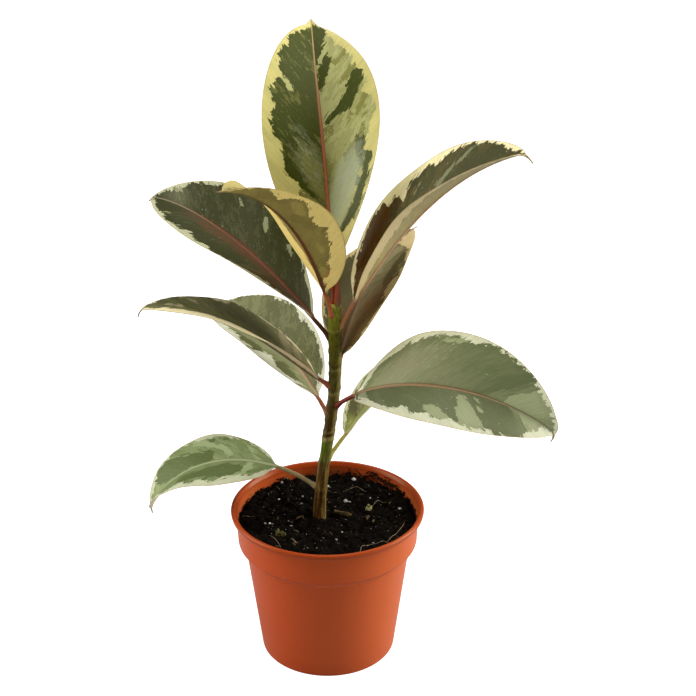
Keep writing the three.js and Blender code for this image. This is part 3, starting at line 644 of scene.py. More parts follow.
class LeafSkin(Shader):
    """The finish of one leaf."""

    def __init__(self, name):
        super().__init__(name + "_skin")
        self.colours = {part: screen(colour) for part, colour in LEAF_COLOURS[name].items()}
        self.seed = int(name[-2:]) * 37.0
        # The foot of the point's side vein and the way out along it, in mm, wandering a little
        grain = self.vector("grain")
        self.grain = self.node("ShaderNodeVectorMath", operation="MULTIPLY_ADD")
        wander = self.noise(grain, 0.5, output="Color")
        for socket, value in zip(self.grain.inputs, (wander, (1.6, 1.6, 0), grain)):
            self.put(socket, value)
        self.grain = self.grain.outputs[0]
        self.patches = [self.cells(self.on_grain(x, y, (self.seed, shift, 0)))
                        for x, y, shift in PATCH_CELLS]
        self.broad = self.noise(self.on_grain(0.09, 0.06, (0, self.seed, 0)))
        self.dust = self.noise(self.on_grain(2.2, 1.6, (self.seed, 3, 0)), detail=3, roughness=0.7)

    def on_grain(self, x, y, shift):
        return self.scaled(self.grain, (x, y, 1), shift)

    def mottled(self, field, amounts, channel):
        """Add zero-mean steps of the cells and waves of the broad noise to one of the fields."""
        value = self.value(field)
        sources = [self.part(cells.outputs["Color"], channel) for cells in self.patches] + [self.broad]
        for source, amount in zip(sources, amounts):
            value = self.math("MULTIPLY_ADD", self.math("SUBTRACT", source, 0.5), amount, value)
        return value

    def level(self):
        """How pale the green is, in six steps from dark to pale, with the strokes over them."""
        steps = self.math("FLOOR", self.math("MULTIPLY", self.mottled("tone", TONE_BREAKUP, "Green"), 6.0))
        level = self.math("DIVIDE", steps, 5.0, clamp=True)
        for kind, channel in zip(STROKE_TONES, ("Blue", "Red", "Green")):
            mask = self.step(self.mottled(kind, STROKE_BREAKUP, channel), -0.1, 0.1)
            level = self.math("MULTIPLY_ADD", mask, self.math("SUBTRACT", STROKE_TONES[kind], level), level)
        return level

    def variegation(self):
        """The upper side's greens and cream, and the paler ones of the lower side."""
        colours, level = self.colours, self.level()
        cream = self.step(self.mottled("cream", CREAM_BREAKUP, "Red"), -0.1, 0.1)
        # painted shade: the green is darkened within about 6 mm of the cream margin
        painted_shade_near_cream = self.step(self.value("cream"), -6.0, 0.5, 0, 0.16)
        tint = self.math("MULTIPLY", self.mottled("tint", TINT_BREAKUP, "Blue"),
                         self.step(self.value("tint"), 0.02, 0.25), clamp=True)
        cream_shade = self.blend(self.step(self.broad, 0.3, 0.7), dimmed(colours["cream"], 0.86),
                                 colours["cream"])
        upper = [colours[part] for part in ("dark", "mid", "pale")]
        lower = [dimmed(colours["under"], share) for share in (0.8, 1.0, 1.25)]
        sides = []
        for greens, pale in ((upper, cream_shade), (lower, colours["under_cream"])):
            # the tint; on leaf_04 and leaf_10 partly the leaf's own grey-green and partly a painted silvery
            # sheen
            green = self.blend(tint, self.ramp(level, greens), colours["tint"])
            green = self.blend(painted_shade_near_cream, green, dimmed(colours["dark"], 0.3))
            sides.append(self.blend(cream, green, pale))
        # painted light: the upper side is made lighter or darker half by half by its light field
        return self.blend(self.value("under"), self.times(sides[0], self.value("light")), sides[1])

    def veined(self, skin):
        """The skin with the margin's edge, the midrib and the petiole in their own colours, with painted
        shade along the midrib's borders.
        """
        colours, rib = self.colours, self.value("rib")
        edge = self.step(self.value("edge"), 0.7, 0.25, 0, 0.6)
        skin = self.blend(edge, skin, colours.get("edge", EDGE_COLOUR))
        # painted shade: the midrib's borders are darker than its middle, so that it looks raised
        skin = self.blend(self.step(rib, 1.1, 0.8, 0, 0.8), skin, dimmed(colours["rib"], 0.55))
        fading = self.step(self.value("along"), 0.5, 0.95, 0, 0.8)
        rib_colour = self.blend(fading, colours["rib"], colours["pale"])
        skin = self.blend(self.step(rib, 0.75, 0.35), skin, rib_colour)
        return self.blend(self.value("stalk"), skin, colours["petiole"])

    def dusted(self, skin):
        """The skin with streaks along its veins, pale specks of different size and fine dots of dust."""
        streaks = self.noise(self.on_grain(1.1, 0.1, (self.seed, 7, 0)))
        shade = self.math("MULTIPLY", self.step(self.dust, 0.25, 0.75, 0.92, 1.08),
                          self.step(streaks, 0.3, 0.7, 0.93, 1.07))
        speck = self.cells(self.on_grain(0.3, 0.3, (0, 0, self.seed)))
        size = self.math("MULTIPLY", self.part(speck.outputs["Color"], "Green"), 0.11)
        dot = self.math("LESS_THAN", speck.outputs["Distance"], size)
        rare = self.math("GREATER_THAN", self.part(speck.outputs["Color"]), 0.55)
        specks = self.math("MULTIPLY", self.math("MULTIPLY", dot, rare), 0.5)
        fine = self.cells(self.on_grain(0.8, 0.8, (self.seed, 0, self.seed)))
        fine_dots = self.step(fine.outputs["Distance"], 0.24, 0.1, 0, 0.22)
        few = self.step(self.part(fine.outputs["Color"]), 0.5, 0.8)
        specks = self.math("MAXIMUM", specks, self.math("MULTIPLY", fine_dots, few))
        return self.blend(specks, self.times(skin, shade), DUST_COLOUR)


def leaf_material(name):
    shader = LeafSkin(name)
    shader.set(Base_Color=shader.dusted(shader.veined(shader.variegation())),
               Roughness=shader.step(shader.value("under"), 0.0, 1.0, 0.4, 0.6),
               Specular_IOR_Level=0.22, Specular_Tint=(1, 0.93, 0.6), Subsurface_Weight=0.1,
               Subsurface_Radius=(0.003, 0.004, 0.001), Subsurface_Scale=0.4)
    vein_wave = shader.math("PINGPONG", shader.part(shader.grain), 3.3)
    height = shader.math("MULTIPLY_ADD", shader.dust, 0.5, shader.step(vein_wave, 0.0, 0.6))
    shader.bump(height, 0.22, 0.0002)
    return shader.material


def build_leaf(name):
    leaf = LEAVES[name]
    on_leaf = leaf_points(leaf)
    rings, size = on_leaf["b"].shape
    piece = mesh_object(name + "_leaf", on_leaf["points"].reshape(-1, 3), ring_faces(rings, size),
                        leaf_material(name), "leaf_blade", name)
    b, u, arc = on_leaf["b"], on_leaf["u"], on_leaf["arc"]
    along, vein = np.clip(b, 0, 1), vein_of(leaf, b, arc)
    fields = dict(pattern_fields(leaf, PATTERNS[name], on_leaf), along=along, under=on_leaf["under"],
                  rib=np.abs(arc) / (2.0 - 1.6 * along), edge=(1 - np.abs(u)) * on_leaf["width"],
                  stalk=1 - smooth(-0.02, 0.03, b))
    for field, values in fields.items():
        add_values(piece, field, values)
    add_values(piece, "grain", np.stack([vein, arc, 0 * vein], -1), "FLOAT_VECTOR")
    sharpen_margins(piece, rings, size)


def sharpen_margins(piece, rings, size):
    """The margin's edges are crisp, so the upper and lower side are shaded apart."""
    edges = {tuple(sorted(edge.vertices)): i for i, edge in enumerate(piece.data.edges)}
    sharp = np.zeros(len(piece.data.edges), dtype=bool)
    columns = len(COLUMNS)
    for i in range(PETIOLE_STATIONS + 4, rings - 1):
        for j in (0, columns - 1, columns, size - 1):
            a = i * size + j
            sharp[edges[(a, a + size)]] = True
    attribute = piece.data.attributes.new("sharp_edge", "BOOLEAN", "EDGE")
    attribute.data.foreach_set("value", sharp)


# ---------- Stem and bud ----------
STEM_SIDES, STEM_RINGS = 56, 300
BUD_SIDES, BUD_RINGS, BUD_SINK = 28, 30, 2
# Colours of the bark from the height of 90 mm up, in steps of 10 mm.
BARK_FROM, BARK_LENGTH = 90, 140
BARK_COLOURS = [(0.100, 0.045, 0.012), (0.075, 0.034, 0.006), (0.100, 0.052, 0.009), (0.070, 0.038, 0.004),
                (0.050, 0.046, 0.004), (0.050, 0.040, 0.004), (0.045, 0.028, 0.003), (0.060, 0.036, 0.004),
                (0.070, 0.048, 0.006), (0.062, 0.052, 0.005), (0.090, 0.080, 0.009), (0.092, 0.088, 0.007),
                (0.120, 0.120, 0.006), (0.210, 0.220, 0.018), (0.270, 0.280, 0.030)]
# Rings round the stem as height, strength (above 0 pale, below 0 dark) and half width.
BARK_RINGS = [(214, 0.4, 0.8), (204, -0.25, 0.6), (191, -0.5, 0.9), (188.5, 0.3, 0.8), (173, 0.4, 1.2),
              (165, -0.6, 0.7), (152, -0.3, 0.8), (147.8, 0.35, 0.7), (145.8, -0.8, 0.6), (143.2, 0.75, 1.5)]


def wobble(angle, z, seed, around=3, scale=0.08):
    """A smooth bumpy value over the stem's skin, from seven waves with fixed phases."""
    random = np.random.default_rng(seed)
    total = 0
    for _ in range(7):
        n = random.integers(1, around + 1)
        k, phase = random.uniform(0.2, 1.0) * scale, random.uniform(0, 2 * np.pi)
        total = total + np.sin(n * angle + k * z * 2 * np.pi + phase)
    return total / 7


def stem_material():
    shader = Shader("stem_bark")
    z, ringed = shader.value("height"), shader.value("ring")
    skin = shader.vector("skin")             # round the stem and up it, in millimetres
    fibres = shader.noise(skin, (0.9, 0.05, 0.9), detail=4, roughness=0.65)
    blotch = shader.noise(skin, (0.25, 0.1, 0.25), detail=3)
    mottle = shader.noise(skin, (0.8, 0.3, 0.8), (3, 7, 0), detail=3, roughness=0.6)
    height = shader.math("MULTIPLY_ADD", shader.math("SUBTRACT", blotch, 0.5), 22, z)
    share = shader.math("DIVIDE", shader.math("SUBTRACT", height, BARK_FROM), BARK_LENGTH, clamp=True)
    young = shader.math("MULTIPLY", shader.step(z, 127, 130), shader.step(z, 142.5, 141.5))
    # painted light: the bark is lighter tan on the side that the light falls on
    painted_lit_side = shader.math("MULTIPLY_ADD", blotch, 0.8, shader.value("painted_lit_side"))
    old = shader.step(z, 160, 118, 0.0, 1.0)
    colour = shader.layered(shader.ramp(share, BARK_COLOURS), [
        (shader.math("MULTIPLY", young, 0.95), (0.070, 0.115, 0.004)),
        (shader.step(painted_lit_side, 0.7, 1.3, 0, 0.5), (0.21, 0.17, 0.045)),
        (shader.math("MULTIPLY", shader.step(fibres, 0.54, 0.64), old), (0.28, 0.17, 0.045)),
        (shader.math("MULTIPLY", shader.step(fibres, 0.48, 0.38), old), (0.050, 0.011, 0.004)),
        (shader.math("MAXIMUM", ringed, 0), (0.34, 0.30, 0.09)),
        (shader.math("MULTIPLY", ringed, -1, clamp=True), (0.035, 0.012, 0.005)),
        (shader.step(mottle, 0.5, 0.35, 0, 0.5), (0.025, 0.010, 0.003)),
        (shader.step(mottle, 0.56, 0.7, 0, 0.45), (0.19, 0.16, 0.035)),
    ])
    shader.set(Base_Color=colour, Roughness=0.4, Specular_IOR_Level=0.18, Specular_Tint=(1, 0.85, 0.4))
    shader.bump(fibres, 0.4, 0.0005)
    return shader.material


def build_stem():
    z = np.linspace(STEM_FOOT, STEM_TOP, STEM_RINGS)
    heights = np.concatenate([z, [STEM_TOP + 0.25, STEM_TOP + 0.4]])
    a, zz = np.meshgrid(circle(STEM_SIDES), heights)
    age = 1 - smooth(110, 190, zz)
    radius = stem_radius(zz) - 0.15
    radius = radius + 0.22 * wobble(a, zz, 3) + age * 0.28 * wobble(a, zz, 5, around=9, scale=0.03)
    top = np.clip((heights - (STEM_TOP - 1.5)) / 2, 0, 1)[:, None]
    radius = radius * np.sqrt(np.maximum(0.05, 1 - top**2))
    foot = np.clip((heights - STEM_FOOT) / 1.5, 0, 1)[:, None]
    radius = radius * (0.85 + 0.15 * foot)
    points = stem_at(heights)[:, None, :] + np.stack([radius * np.cos(a), radius * np.sin(a), 0 * a], -1)
    piece = mesh_object("stem_bark", points.reshape(-1, 3), ring_faces(len(heights), STEM_SIDES),
                        stem_material(), "stem_bark", "stem")
    slanted = zz + 0.4 * np.sin(a * 2)
    add_values(piece, "height", zz)
    add_values(piece, "ring", sum(strength * np.exp(-(((slanted - height) / wide) ** 2))
                                  for height, strength, wide in BARK_RINGS))
    # painted light on the stem's front right, the side that the light falls on
    add_values(piece, "painted_lit_side", np.clip(np.cos(a + 0.5), 0, 1) ** 2)
    add_values(piece, "skin", np.stack([a * 4, zz, np.cos(a) * 4], -1), "FLOAT_VECTOR")


def bud_material():
    shader = Shader("bud_skin")
    grain = shader.noise(shader.place(), (900, 900, 120), detail=3)
    colour = shader.blend(shader.step(shader.value("height"), 0.0, 0.35), (0.12, 0.12, 0.02),
                          (0.22, 0.032, 0.010))
    colour = shader.blend(shader.math("MULTIPLY", grain, 0.5), colour, (0.40, 0.12, 0.03))
    shader.set(Base_Color=colour, Roughness=0.38)
    shader.bump(grain, 0.2, 0.0003)
    return shader.material


def build_bud():
    a, tt = np.meshgrid(circle(BUD_SIDES), np.linspace(0, 1, BUD_RINGS))
    z = -BUD_SINK + (BUD_HEIGHT + BUD_SINK) * tt
    radius = BUD_RADIUS * np.interp(tt, [0, 0.2, 0.38, 0.6, 0.82, 1], [0.85, 1, 0.98, 0.78, 0.45, 0.08])
    radius = radius * (1 + 0.07 * np.cos(2 * (a + 1.5 * tt)))
    lean = np.radians(BUD_AZIMUTH)
    offset = BUD_OFFSET + 0.05 * z
    points = stem_at(np.float64(STEM_TOP)) + np.stack([radius * np.cos(a) + offset * np.cos(lean),
                                                       radius * np.sin(a) + offset * np.sin(lean), z], -1)
    piece = mesh_object("bud_sheath_skin", points.reshape(-1, 3), ring_faces(BUD_RINGS, BUD_SIDES),
                        bud_material(), "bud_skin", "bud_sheath")
    add_values(piece, "height", tt)


# ---------- Pot ----------
# Corners of the pot's section as (radius, height, corner radius), going round it.
POT_SECTION = [
    (0, 0, 0), (20, 0, 0.6), (21.5, 2.5, 0.6), (38.3, 2.5, 0.6), (39.3, 0, 0.3), (BASE_RADIUS, 0, 1.1),
    (51.3, 71.4, 1.6), (54.6, 74.0, 1.0), (55.8, 75.6, 1.2), (56.7, 94.1, 0.5), (59.6, 94.3, 0.5),
    (RIM_RADIUS, 96.6, 0.9), (59.0, RIM_HEIGHT, 0.7), (57.6, 97.4, 0.6), (56.2, 95.2, 0.6), (55.8, 92.5, 2),
    (54.9, 76.4, 0.6), (53.8, 75.0, 0.8), (50.3, 72.2, 1.2), (41.1, 3.6, 1.5), (0, 3.6, 0),
]
CORNER_STEPS = 5
INNER_CORNER = 13                # the section's corners after this one are on the pot's inside
CUTTER_SIDES, CUTTER_DEPTH, CUTTER_HEIGHT = 32, 8, 2


def rounded(section):
    """The section's points with each corner turned into an arc."""
    points = []
    for i, (r, z, radius) in enumerate(section):
        here = np.array([r, z])
        if radius == 0:
            points.append(here)
            continue
        ways = [np.array(section[k % len(section)][:2]) - here for k in (i - 1, i + 1)]
        reach = min([radius] + [0.45 * np.linalg.norm(way) for way in ways])
        start, end = (here + way / np.linalg.norm(way) * reach for way in ways)
        for t in np.linspace(0, 1, CORNER_STEPS):
            points.append(start * (1 - t) ** 2 + 2 * here * t * (1 - t) + end * t * t)
    return np.array(points)


def pot_material():
    shader = Shader("pot_plastic")
    place = shader.place()
    cloud = shader.noise(place, (18, 18, 9), detail=4, roughness=0.6)
    grain = shader.noise(place, (900, 900, 900), detail=2)
    scuffs = shader.noise(place, (160, 160, 18), detail=5, roughness=0.7)
    clods = shader.noise(place, (220, 220, 150), detail=5)
    # painted shade on the lip and in the crease below the collar
    painted_shade_edge = shader.value("painted_shade_edge")
    dust = shader.math("MULTIPLY", shader.value("inside"), shader.step(scuffs, 0.4, 0.7, 0.15, 0.6))
    soiled = shader.step(shader.math("ADD", shader.value("soiled"), clods), 0.98, 1.12, 0, 0.8)
    colour = shader.blend(shader.step(cloud, 0.3, 0.7), (0.48, 0.054, 0.0066), (0.53, 0.062, 0.0080))
    # painted light lightens the pot's right side and, less, its left
    colour = shader.layered(colour, [(shader.value("painted_side_light"), (0.60, 0.118, 0.026)),
                                     (painted_shade_edge, (0.27, 0.036, 0.006)), (dust, (0.36, 0.17, 0.05)),
                                     (soiled, (0.040, 0.014, 0.006))])
    shader.set(Base_Color=colour, Roughness=shader.step(painted_shade_edge, 0.3, 0.6, 0.42, 0.28),
               Specular_IOR_Level=0.22, Specular_Tint=(1, 0.8, 0.45))
    shader.bump(grain, 0.06, 0.0002)
    return shader.material


def build_pot():
    section = rounded(POT_SECTION)
    angle, wall = circle(POT_SEGMENTS), section[1:-1]
    middles = [[0, 0, 0], [0, 0, section[-1][1]]]
    points = np.concatenate([ring(r, angle, z) for r, z in wall] + [middles])
    bottom, top = len(points) - 2, len(points) - 1
    last = (len(wall) - 1) * POT_SEGMENTS
    faces = ring_faces(len(wall), POT_SEGMENTS)[:-2]
    for j in range(POT_SEGMENTS):
        k = (j + 1) % POT_SEGMENTS
        faces += [(bottom, k, j), (top, last + j, last + k)]
    piece = mesh_object("pot_shell", points, faces, pot_material(), "pot_plastic", "pot")
    age_pot(piece, points)
    drill_holes(piece)


def age_pot(piece, points):
    """Where the plastic is dusty or soiled, and where painted shade darkens it and painted light lightens it.
    """
    height, radius = points[:, 2], np.hypot(points[:, 0], points[:, 1])
    azimuth = np.arctan2(points[:, 1], points[:, 0])
    ring_index = np.arange(len(points)) // POT_SEGMENTS
    inner = (ring_index >= INNER_CORNER * CORNER_STEPS) & (height > 20)
    add_values(piece, "inside", inner * smooth(97, 90, height) * (radius > 40))
    # painted shade in the crease below the collar and on the lip
    crease = smooth(71.5, 73.5, height) * smooth(76.2, 75.0, height) * (1 - inner)
    add_values(piece, "painted_shade_edge", np.maximum(0.35 * crease, 0.6 * smooth(93.6, 94.6, height)))
    # soil clings to the inner wall, most of all at the back on the right
    clinging = 0.3 + 0.35 * np.exp(3 * (np.cos(azimuth - 0.85) - 1))
    add_values(piece, "soiled", inner * clinging * smooth(96.5, 89, height))
    # painted light: the plastic is lighter on its right side and, less, on its left, where the side lamps
    # light it
    right, left = np.exp(2.2 * (np.cos(azimuth + 0.45) - 1)), np.exp(3 * (-np.cos(azimuth) - 1))
    add_values(piece, "painted_side_light", 0.85 * right + 0.4 * left)


def drill_holes(piece):
    """Cut the drain holes through the pot's floor."""
    cutter_mesh = bmesh.new()
    for i in range(DRAIN_HOLES):
        a = (i + 0.5) / DRAIN_HOLES * 2 * math.pi
        radius = DRAIN_RADIUS * MM
        made = bmesh.ops.create_cone(cutter_mesh, cap_ends=True, segments=CUTTER_SIDES, radius1=radius,
                                     radius2=radius, depth=CUTTER_DEPTH * MM)
        shift = Vector((DRAIN_CIRCLE * math.cos(a), DRAIN_CIRCLE * math.sin(a), CUTTER_HEIGHT)) * MM
        bmesh.ops.translate(cutter_mesh, vec=shift, verts=made["verts"])
    mesh = bpy.data.meshes.new("drain_cutter")
    cutter_mesh.to_mesh(mesh)
    cutter_mesh.free()
    cutter = bpy.data.objects.new("drain_cutter", mesh)
    bpy.context.collection.objects.link(cutter)
    cut = piece.modifiers.new("drains", "BOOLEAN")
    cut.operation, cut.object, cut.solver = "DIFFERENCE", cutter, "EXACT"
    bpy.context.view_layer.objects.active = piece
    bpy.ops.object.modifier_apply(modifier="drains")
    bpy.data.objects.remove(cutter)


# ---------- Soil and what lies on it ----------
SOIL_SEED, CRUMB_SEED, WALL_SEED, GRAIN_SEED, SCRAP_SEED = 20, 7, 11, 5, 3
SOIL_RING_COUNT, SOIL_SECTOR_COUNT = 90, 300
CLODS, CRUMBS, SMALL_GRAINS, SMALL_SCRAPS = 3000, 900, 150, 26
# How far from the pot's axis they are scattered, and how clear of the stem.
CRUMB_REACH, GRAIN_REACH, SCRAP_REACH = 53, 51, 50
CRUMB_CLEAR, GRAIN_CLEAR, SCRAP_CLEAR = 5.5, 6, 7
# The soil's skin below its top, as radius and height, going up the pot's inside.
SOIL_WALL = [(38, 3.9), (40.5, 4.4), (49.8, 72.6), (53.2, 75.3), (54.4, 77.0), (SOIL_RADIUS - 0.1, 86.0)]
# Clumps of soil that cling to the inner wall, as azimuth, height, spread along it and number of crumbs.
WALL_CLUMPS = [(24, 90.0, 5, 30), (31, 90.8, 5, 34), (38, 91.6, 5, 36), (45, 92.2, 6, 44), (52, 92.8, 4, 34),
               (58, 94.4, 2.4, 26), (61, 92.2, 5, 36), (69, 91.4, 5, 26), (76, 93.0, 1.6, 12),
               (84, 90.2, 5, 22), (101, 90.0, 6, 20), (124, 90.4, 5, 26), (141, 90.0, 6, 26),
               (158, 89.6, 6, 20), (6, 89.8, 8, 26), (-18, 89.4, 8, 18), (185, 89.6, 8, 22)]
# White grains that stand out, as x, y and size; the rest are scattered.
WHITE_GRAINS = [(10.8, 21.3, 1.3), (13.2, 20.8, 1.1), (43.2, 10.6, 1.3), (45.2, 9.4, 1.1), (5.8, -26.5, 0.9),
                (6.4, -30, 1.0), (9, -19.5, 0.7), (-2, -25.5, 0.6), (24.5, -33.5, 0.6), (28, -32.5, 0.5),
                (0, 43, 1.3), (-16.5, 27, 0.8), (-16.5, 13, 0.9), (27, 24, 0.9), (-27, 48, 1.2),
                (-30.5, 41, 1.2), (-31.5, 24, 1.1), (-38.5, -7.5, 0.8), (-35.5, -9.5, 0.9),
                (-33.8, -9.8, 0.6), (-23.5, 34, 0.9), (-22.5, -8, 1.0), (-24.5, -8.5, 0.8), (-16.5, -38, 0.5),
                (-13.5, -37.5, 0.4), (-6, -34, 0.5), (-11.5, -36, 0.5), (17, 46.5, 1.7)]
# The stops of each root fibre on the soil; the first three are thicker.
FIBRES = [[(48, -4), (47, -12), (43.5, -20), (39, -27), (35, -33)],
          [(20, -42), (20.5, -37), (24, -35), (29, -35)], [(-22, -26), (-20.5, -29), (-17.5, -34)],
          [(-54, 1), (-49, 1.5), (-45, 0)], [(27, 12), (33, 17), (38, 18)], [(28, -35), (33, -34), (37, -32)],
          [(10, 30), (18, 34), (26, 33)], [(-36, -20), (-30, -30), (-27, -36)]]
FIBRE_SIDES, FIBRE_STEPS, FIBRE_LIFT = 7, 40, 1.4
# Pale and olive scraps of leaf, as x, y, lift above the soil and size: the first ones stand upright.
LEAF_SCRAPS = [(25.3, 9.5, 0.9, 1.2), (26.6, 9.8, 2.4, 1.1), (25.5, 9.8, 4.0, 1.0), (24.2, 9.6, 1.4, 0.9),
               (26.2, 9.4, 0.4, 1.2)]
OLIVE_SCRAPS = [(-30, -21, 0.6, 1.8), (-28, -20.5, 1.0, 1.6), (-26.5, -21.5, 0.6, 1.2),
                (-30.5, -19.5, 1.6, 1.2)]
# Scraps of bark, as x, y, length and width.
BARK_SCRAPS = [(-17.5, -3, 6, 1.0), (-15.5, -1.5, 4, 1.0), (25, -2.5, 5, 1.3), (28.5, -5.5, 4, 0.8),
               (-19, -16, 4, 0.6)]


class SoilSurface:
    """Height of the loose soil: clods of different size, each a tilted dome, the highest one showing."""

    def __init__(self):
        random = np.random.default_rng(SOIL_SEED)
        radius = SOIL_RADIUS * np.sqrt(random.random(CLODS))
        angle = 2 * np.pi * random.random(CLODS)
        self.x, self.y = radius * np.cos(angle), radius * np.sin(angle)
        self.size = 0.6 + 3.0 * random.random(CLODS) ** 4
        self.rise = random.normal(0, 0.35, CLODS)
        self.tilt = random.normal(0, 0.35, (2, CLODS))
        self.waves = [(random.uniform(0.05, 0.16, 2) * random.choice([-1, 1], 2), random.uniform(0, 6.28))
                      for _ in range(5)]

    def __call__(self, x, y):
        x, y = np.atleast_1d(x), np.atleast_1d(y)
        base = sum(np.sin(k[0] * x + k[1] * y + phase) for k, phase in self.waves) * 0.28
        base = base + 2.2 * np.exp(-((x - STEM_X) ** 2 + (y - HEAP_Y) ** 2) / 80)
        dx, dy = x[:, None] - self.x, y[:, None] - self.y
        far = (dx**2 + dy**2) / self.size**2
        dome = self.rise - 0.5 + self.size * 0.6 * np.sqrt(np.maximum(0, 1 - far))
        dome = dome + np.clip(self.tilt[0] * dx + self.tilt[1] * dy, -0.6, 0.6)
        return SOIL_LEVEL + base + np.where(far < 1, dome, -1.2).max(1)

    def at(self, x, y, lift):
        """The place at a height above the soil."""
        return np.array([x, y, self(x, y)[0] + lift])


def soil_material():
    shader = Shader("peat")
    place = shader.place()
    lump = shader.noise(place, 260, detail=4, roughness=0.65)
    fine = shader.noise(place, 1500, detail=4, roughness=0.7)
    patch = shader.noise(place, 70, detail=3, roughness=0.6)
    colour = shader.layered((0.0016, 0.0010, 0.0005), [
        (shader.step(lump, 0.35, 0.7), (0.0085, 0.0054, 0.0028)),
        (shader.step(patch, 0.4, 0.62, 0.0, 0.7), (0.0014, 0.0010, 0.0005)),
        (shader.step(fine, 0.62, 0.8, 0.0, 0.6), (0.030, 0.019, 0.009))])
    shader.set(Base_Color=colour, Roughness=0.9, Specular_IOR_Level=0.05)
    shader.bump(fine, 0.8, 0.0009)
    return shader.material


def build_soil(surface):
    angle = circle(SOIL_SECTOR_COUNT)
    points = [ring(r, angle, z) for r, z in SOIL_WALL]
    for r in np.linspace(SOIL_RADIUS, 0.4, SOIL_RING_COUNT):
        points.append(ring(r, angle, surface(r * np.cos(angle), r * np.sin(angle))))
    faces = ring_faces(len(points), SOIL_SECTOR_COUNT)
    mesh_object("soil_peat", np.concatenate(points), faces, soil_material(), "peat", "soil")


def speck_material(name, colour, other):
    shader = Shader(name)
    mottling = shader.noise(shader.place(), 700, detail=3)
    shader.set(Base_Color=shader.blend(shader.step(mottling, 0.35, 0.65), colour, other), Roughness=0.8,
               Specular_IOR_Level=0.1)
    shader.bump(mottling, 0.4, 0.0004)
    return shader.material


def strewn(name, shapes, dark, pale, slot, shade_smooth=False):
    """Make many small shapes into one piece with a mottled finish."""
    points, faces, first = [], [], 0
    for shape_points, shape_faces in shapes:
        points.append(shape_points)
        faces += [tuple(first + i for i in face) for face in shape_faces]
        first += len(shape_points)
    mesh_object(name, np.concatenate(points), faces, speck_material(name, dark, pale), slot,
                shade_smooth=shade_smooth)


def near_stem(x, y, distance):
    return math.hypot(x - STEM_X, y) < distance


def scattered(random, count, reach, clear):
    """Random places within reach of the pot's axis and clear of the stem, each drawn when it is used."""
    for _ in range(count):
        r, a = reach * math.sqrt(random.random()), 2 * math.pi * random.random()
        x, y = r * math.cos(a), r * math.sin(a)
        if not near_stem(x, y, clear):
            yield x, y


def lump_shape(random, size, squash=0.7):
    """A small irregular stone-like lump, as points and faces."""
    lump = bmesh.new()
    bmesh.ops.create_icosphere(lump, subdivisions=1, radius=1)
    points = np.array([v.co for v in lump.verts])
    faces = [tuple(v.index for v in f.verts) for f in lump.faces]
    lump.free()
    push = 1 + 0.36 * random.normal(size=(len(points), 1)).clip(-1.5, 1.5)
    stretch = np.array([1, random.uniform(0.45, 1), squash * random.uniform(0.5, 1)])
    angle, tilt = random.uniform(0, 2 * np.pi), random.uniform(-0.6, 0.6)
    c, s = math.cos(tilt), math.sin(tilt)
    lean = np.array([[1, 0, 0], [0, c, s], [0, -s, c]])
    return turned(points * push * stretch * size @ lean, angle), faces


def build_crumbs(surface):
    random = np.random.default_rng(CRUMB_SEED)
    crumbs = []
    for x, y in scattered(random, CRUMBS, CRUMB_REACH, CRUMB_CLEAR):
        size = 0.3 + 1.0 * random.random() ** 3
        points, faces = lump_shape(random, size)
        crumbs.append((points + surface.at(x, y, size * 0.2), faces))
    strewn("soil_crumbs", crumbs, (0.0030, 0.0019, 0.0010), (0.017, 0.0105, 0.0050), "peat")


def build_wall_crumbs():
    random = np.random.default_rng(WALL_SEED)
    crumbs = []
    for azimuth, height, spread, count in WALL_CLUMPS:
        for _ in range(count):
            a = math.radians(azimuth + spread * random.normal() / 2)
            up = max(SOIL_LEVEL - 0.5, height + random.normal() * 1.1 - abs(random.normal()) * 1.2)
            wall = SOIL_RADIUS + 0.1 + 0.07 * (up - SOIL_LEVEL)
            points, faces = lump_shape(random, 0.3 + 0.8 * random.random() ** 2)
            crumbs.append((points + np.array([wall * math.cos(a), wall * math.sin(a), up]), faces))
    strewn("wall_crumbs", crumbs, (0.006, 0.0035, 0.002), (0.035, 0.014, 0.007), "peat")


def build_grains(surface):
    random = np.random.default_rng(GRAIN_SEED)
    small = [(x, y, 0.14 + 0.26 * random.random() ** 2)
             for x, y in scattered(random, SMALL_GRAINS, GRAIN_REACH, clear=0)]
    grains = []
    for x, y, size in WHITE_GRAINS + small:
        if near_stem(x, y, GRAIN_CLEAR):
            continue
        points, faces = lump_shape(random, size, squash=0.85)
        grains.append((points + surface.at(x, y, size * 0.3), faces))
    strewn("white_grains", grains, (0.30, 0.27, 0.22), (0.70, 0.68, 0.62), "peat")


def tube(path, radius):
    """Points and faces of a thin tube along a path, thinning to its ends."""
    forward = np.gradient(path, axis=0)
    forward /= np.linalg.norm(forward, axis=1, keepdims=True)
    side = np.cross(forward, [0.1, 0.2, 1.0])
    side /= np.linalg.norm(side, axis=1, keepdims=True)
    up = np.cross(side, forward)
    t = np.linspace(-1, 1, len(path))
    thin = (radius * np.maximum(0.15, 1 - np.abs(t) ** 4))[:, None, None]
    a = circle(FIBRE_SIDES)[None, :, None]
    points = path[:, None, :] + thin * (np.cos(a) * side[:, None, :] + np.sin(a) * up[:, None, :])
    return points.reshape(-1, 3), ring_faces(len(path), FIBRE_SIDES)


def smoothed(values, times):
    """Values with each drawn to its neighbours again and again; the first and last stay."""
    for _ in range(times):
        values[1:-1] = (values[:-2] + 2 * values[1:-1] + values[2:]) / 4
    return values


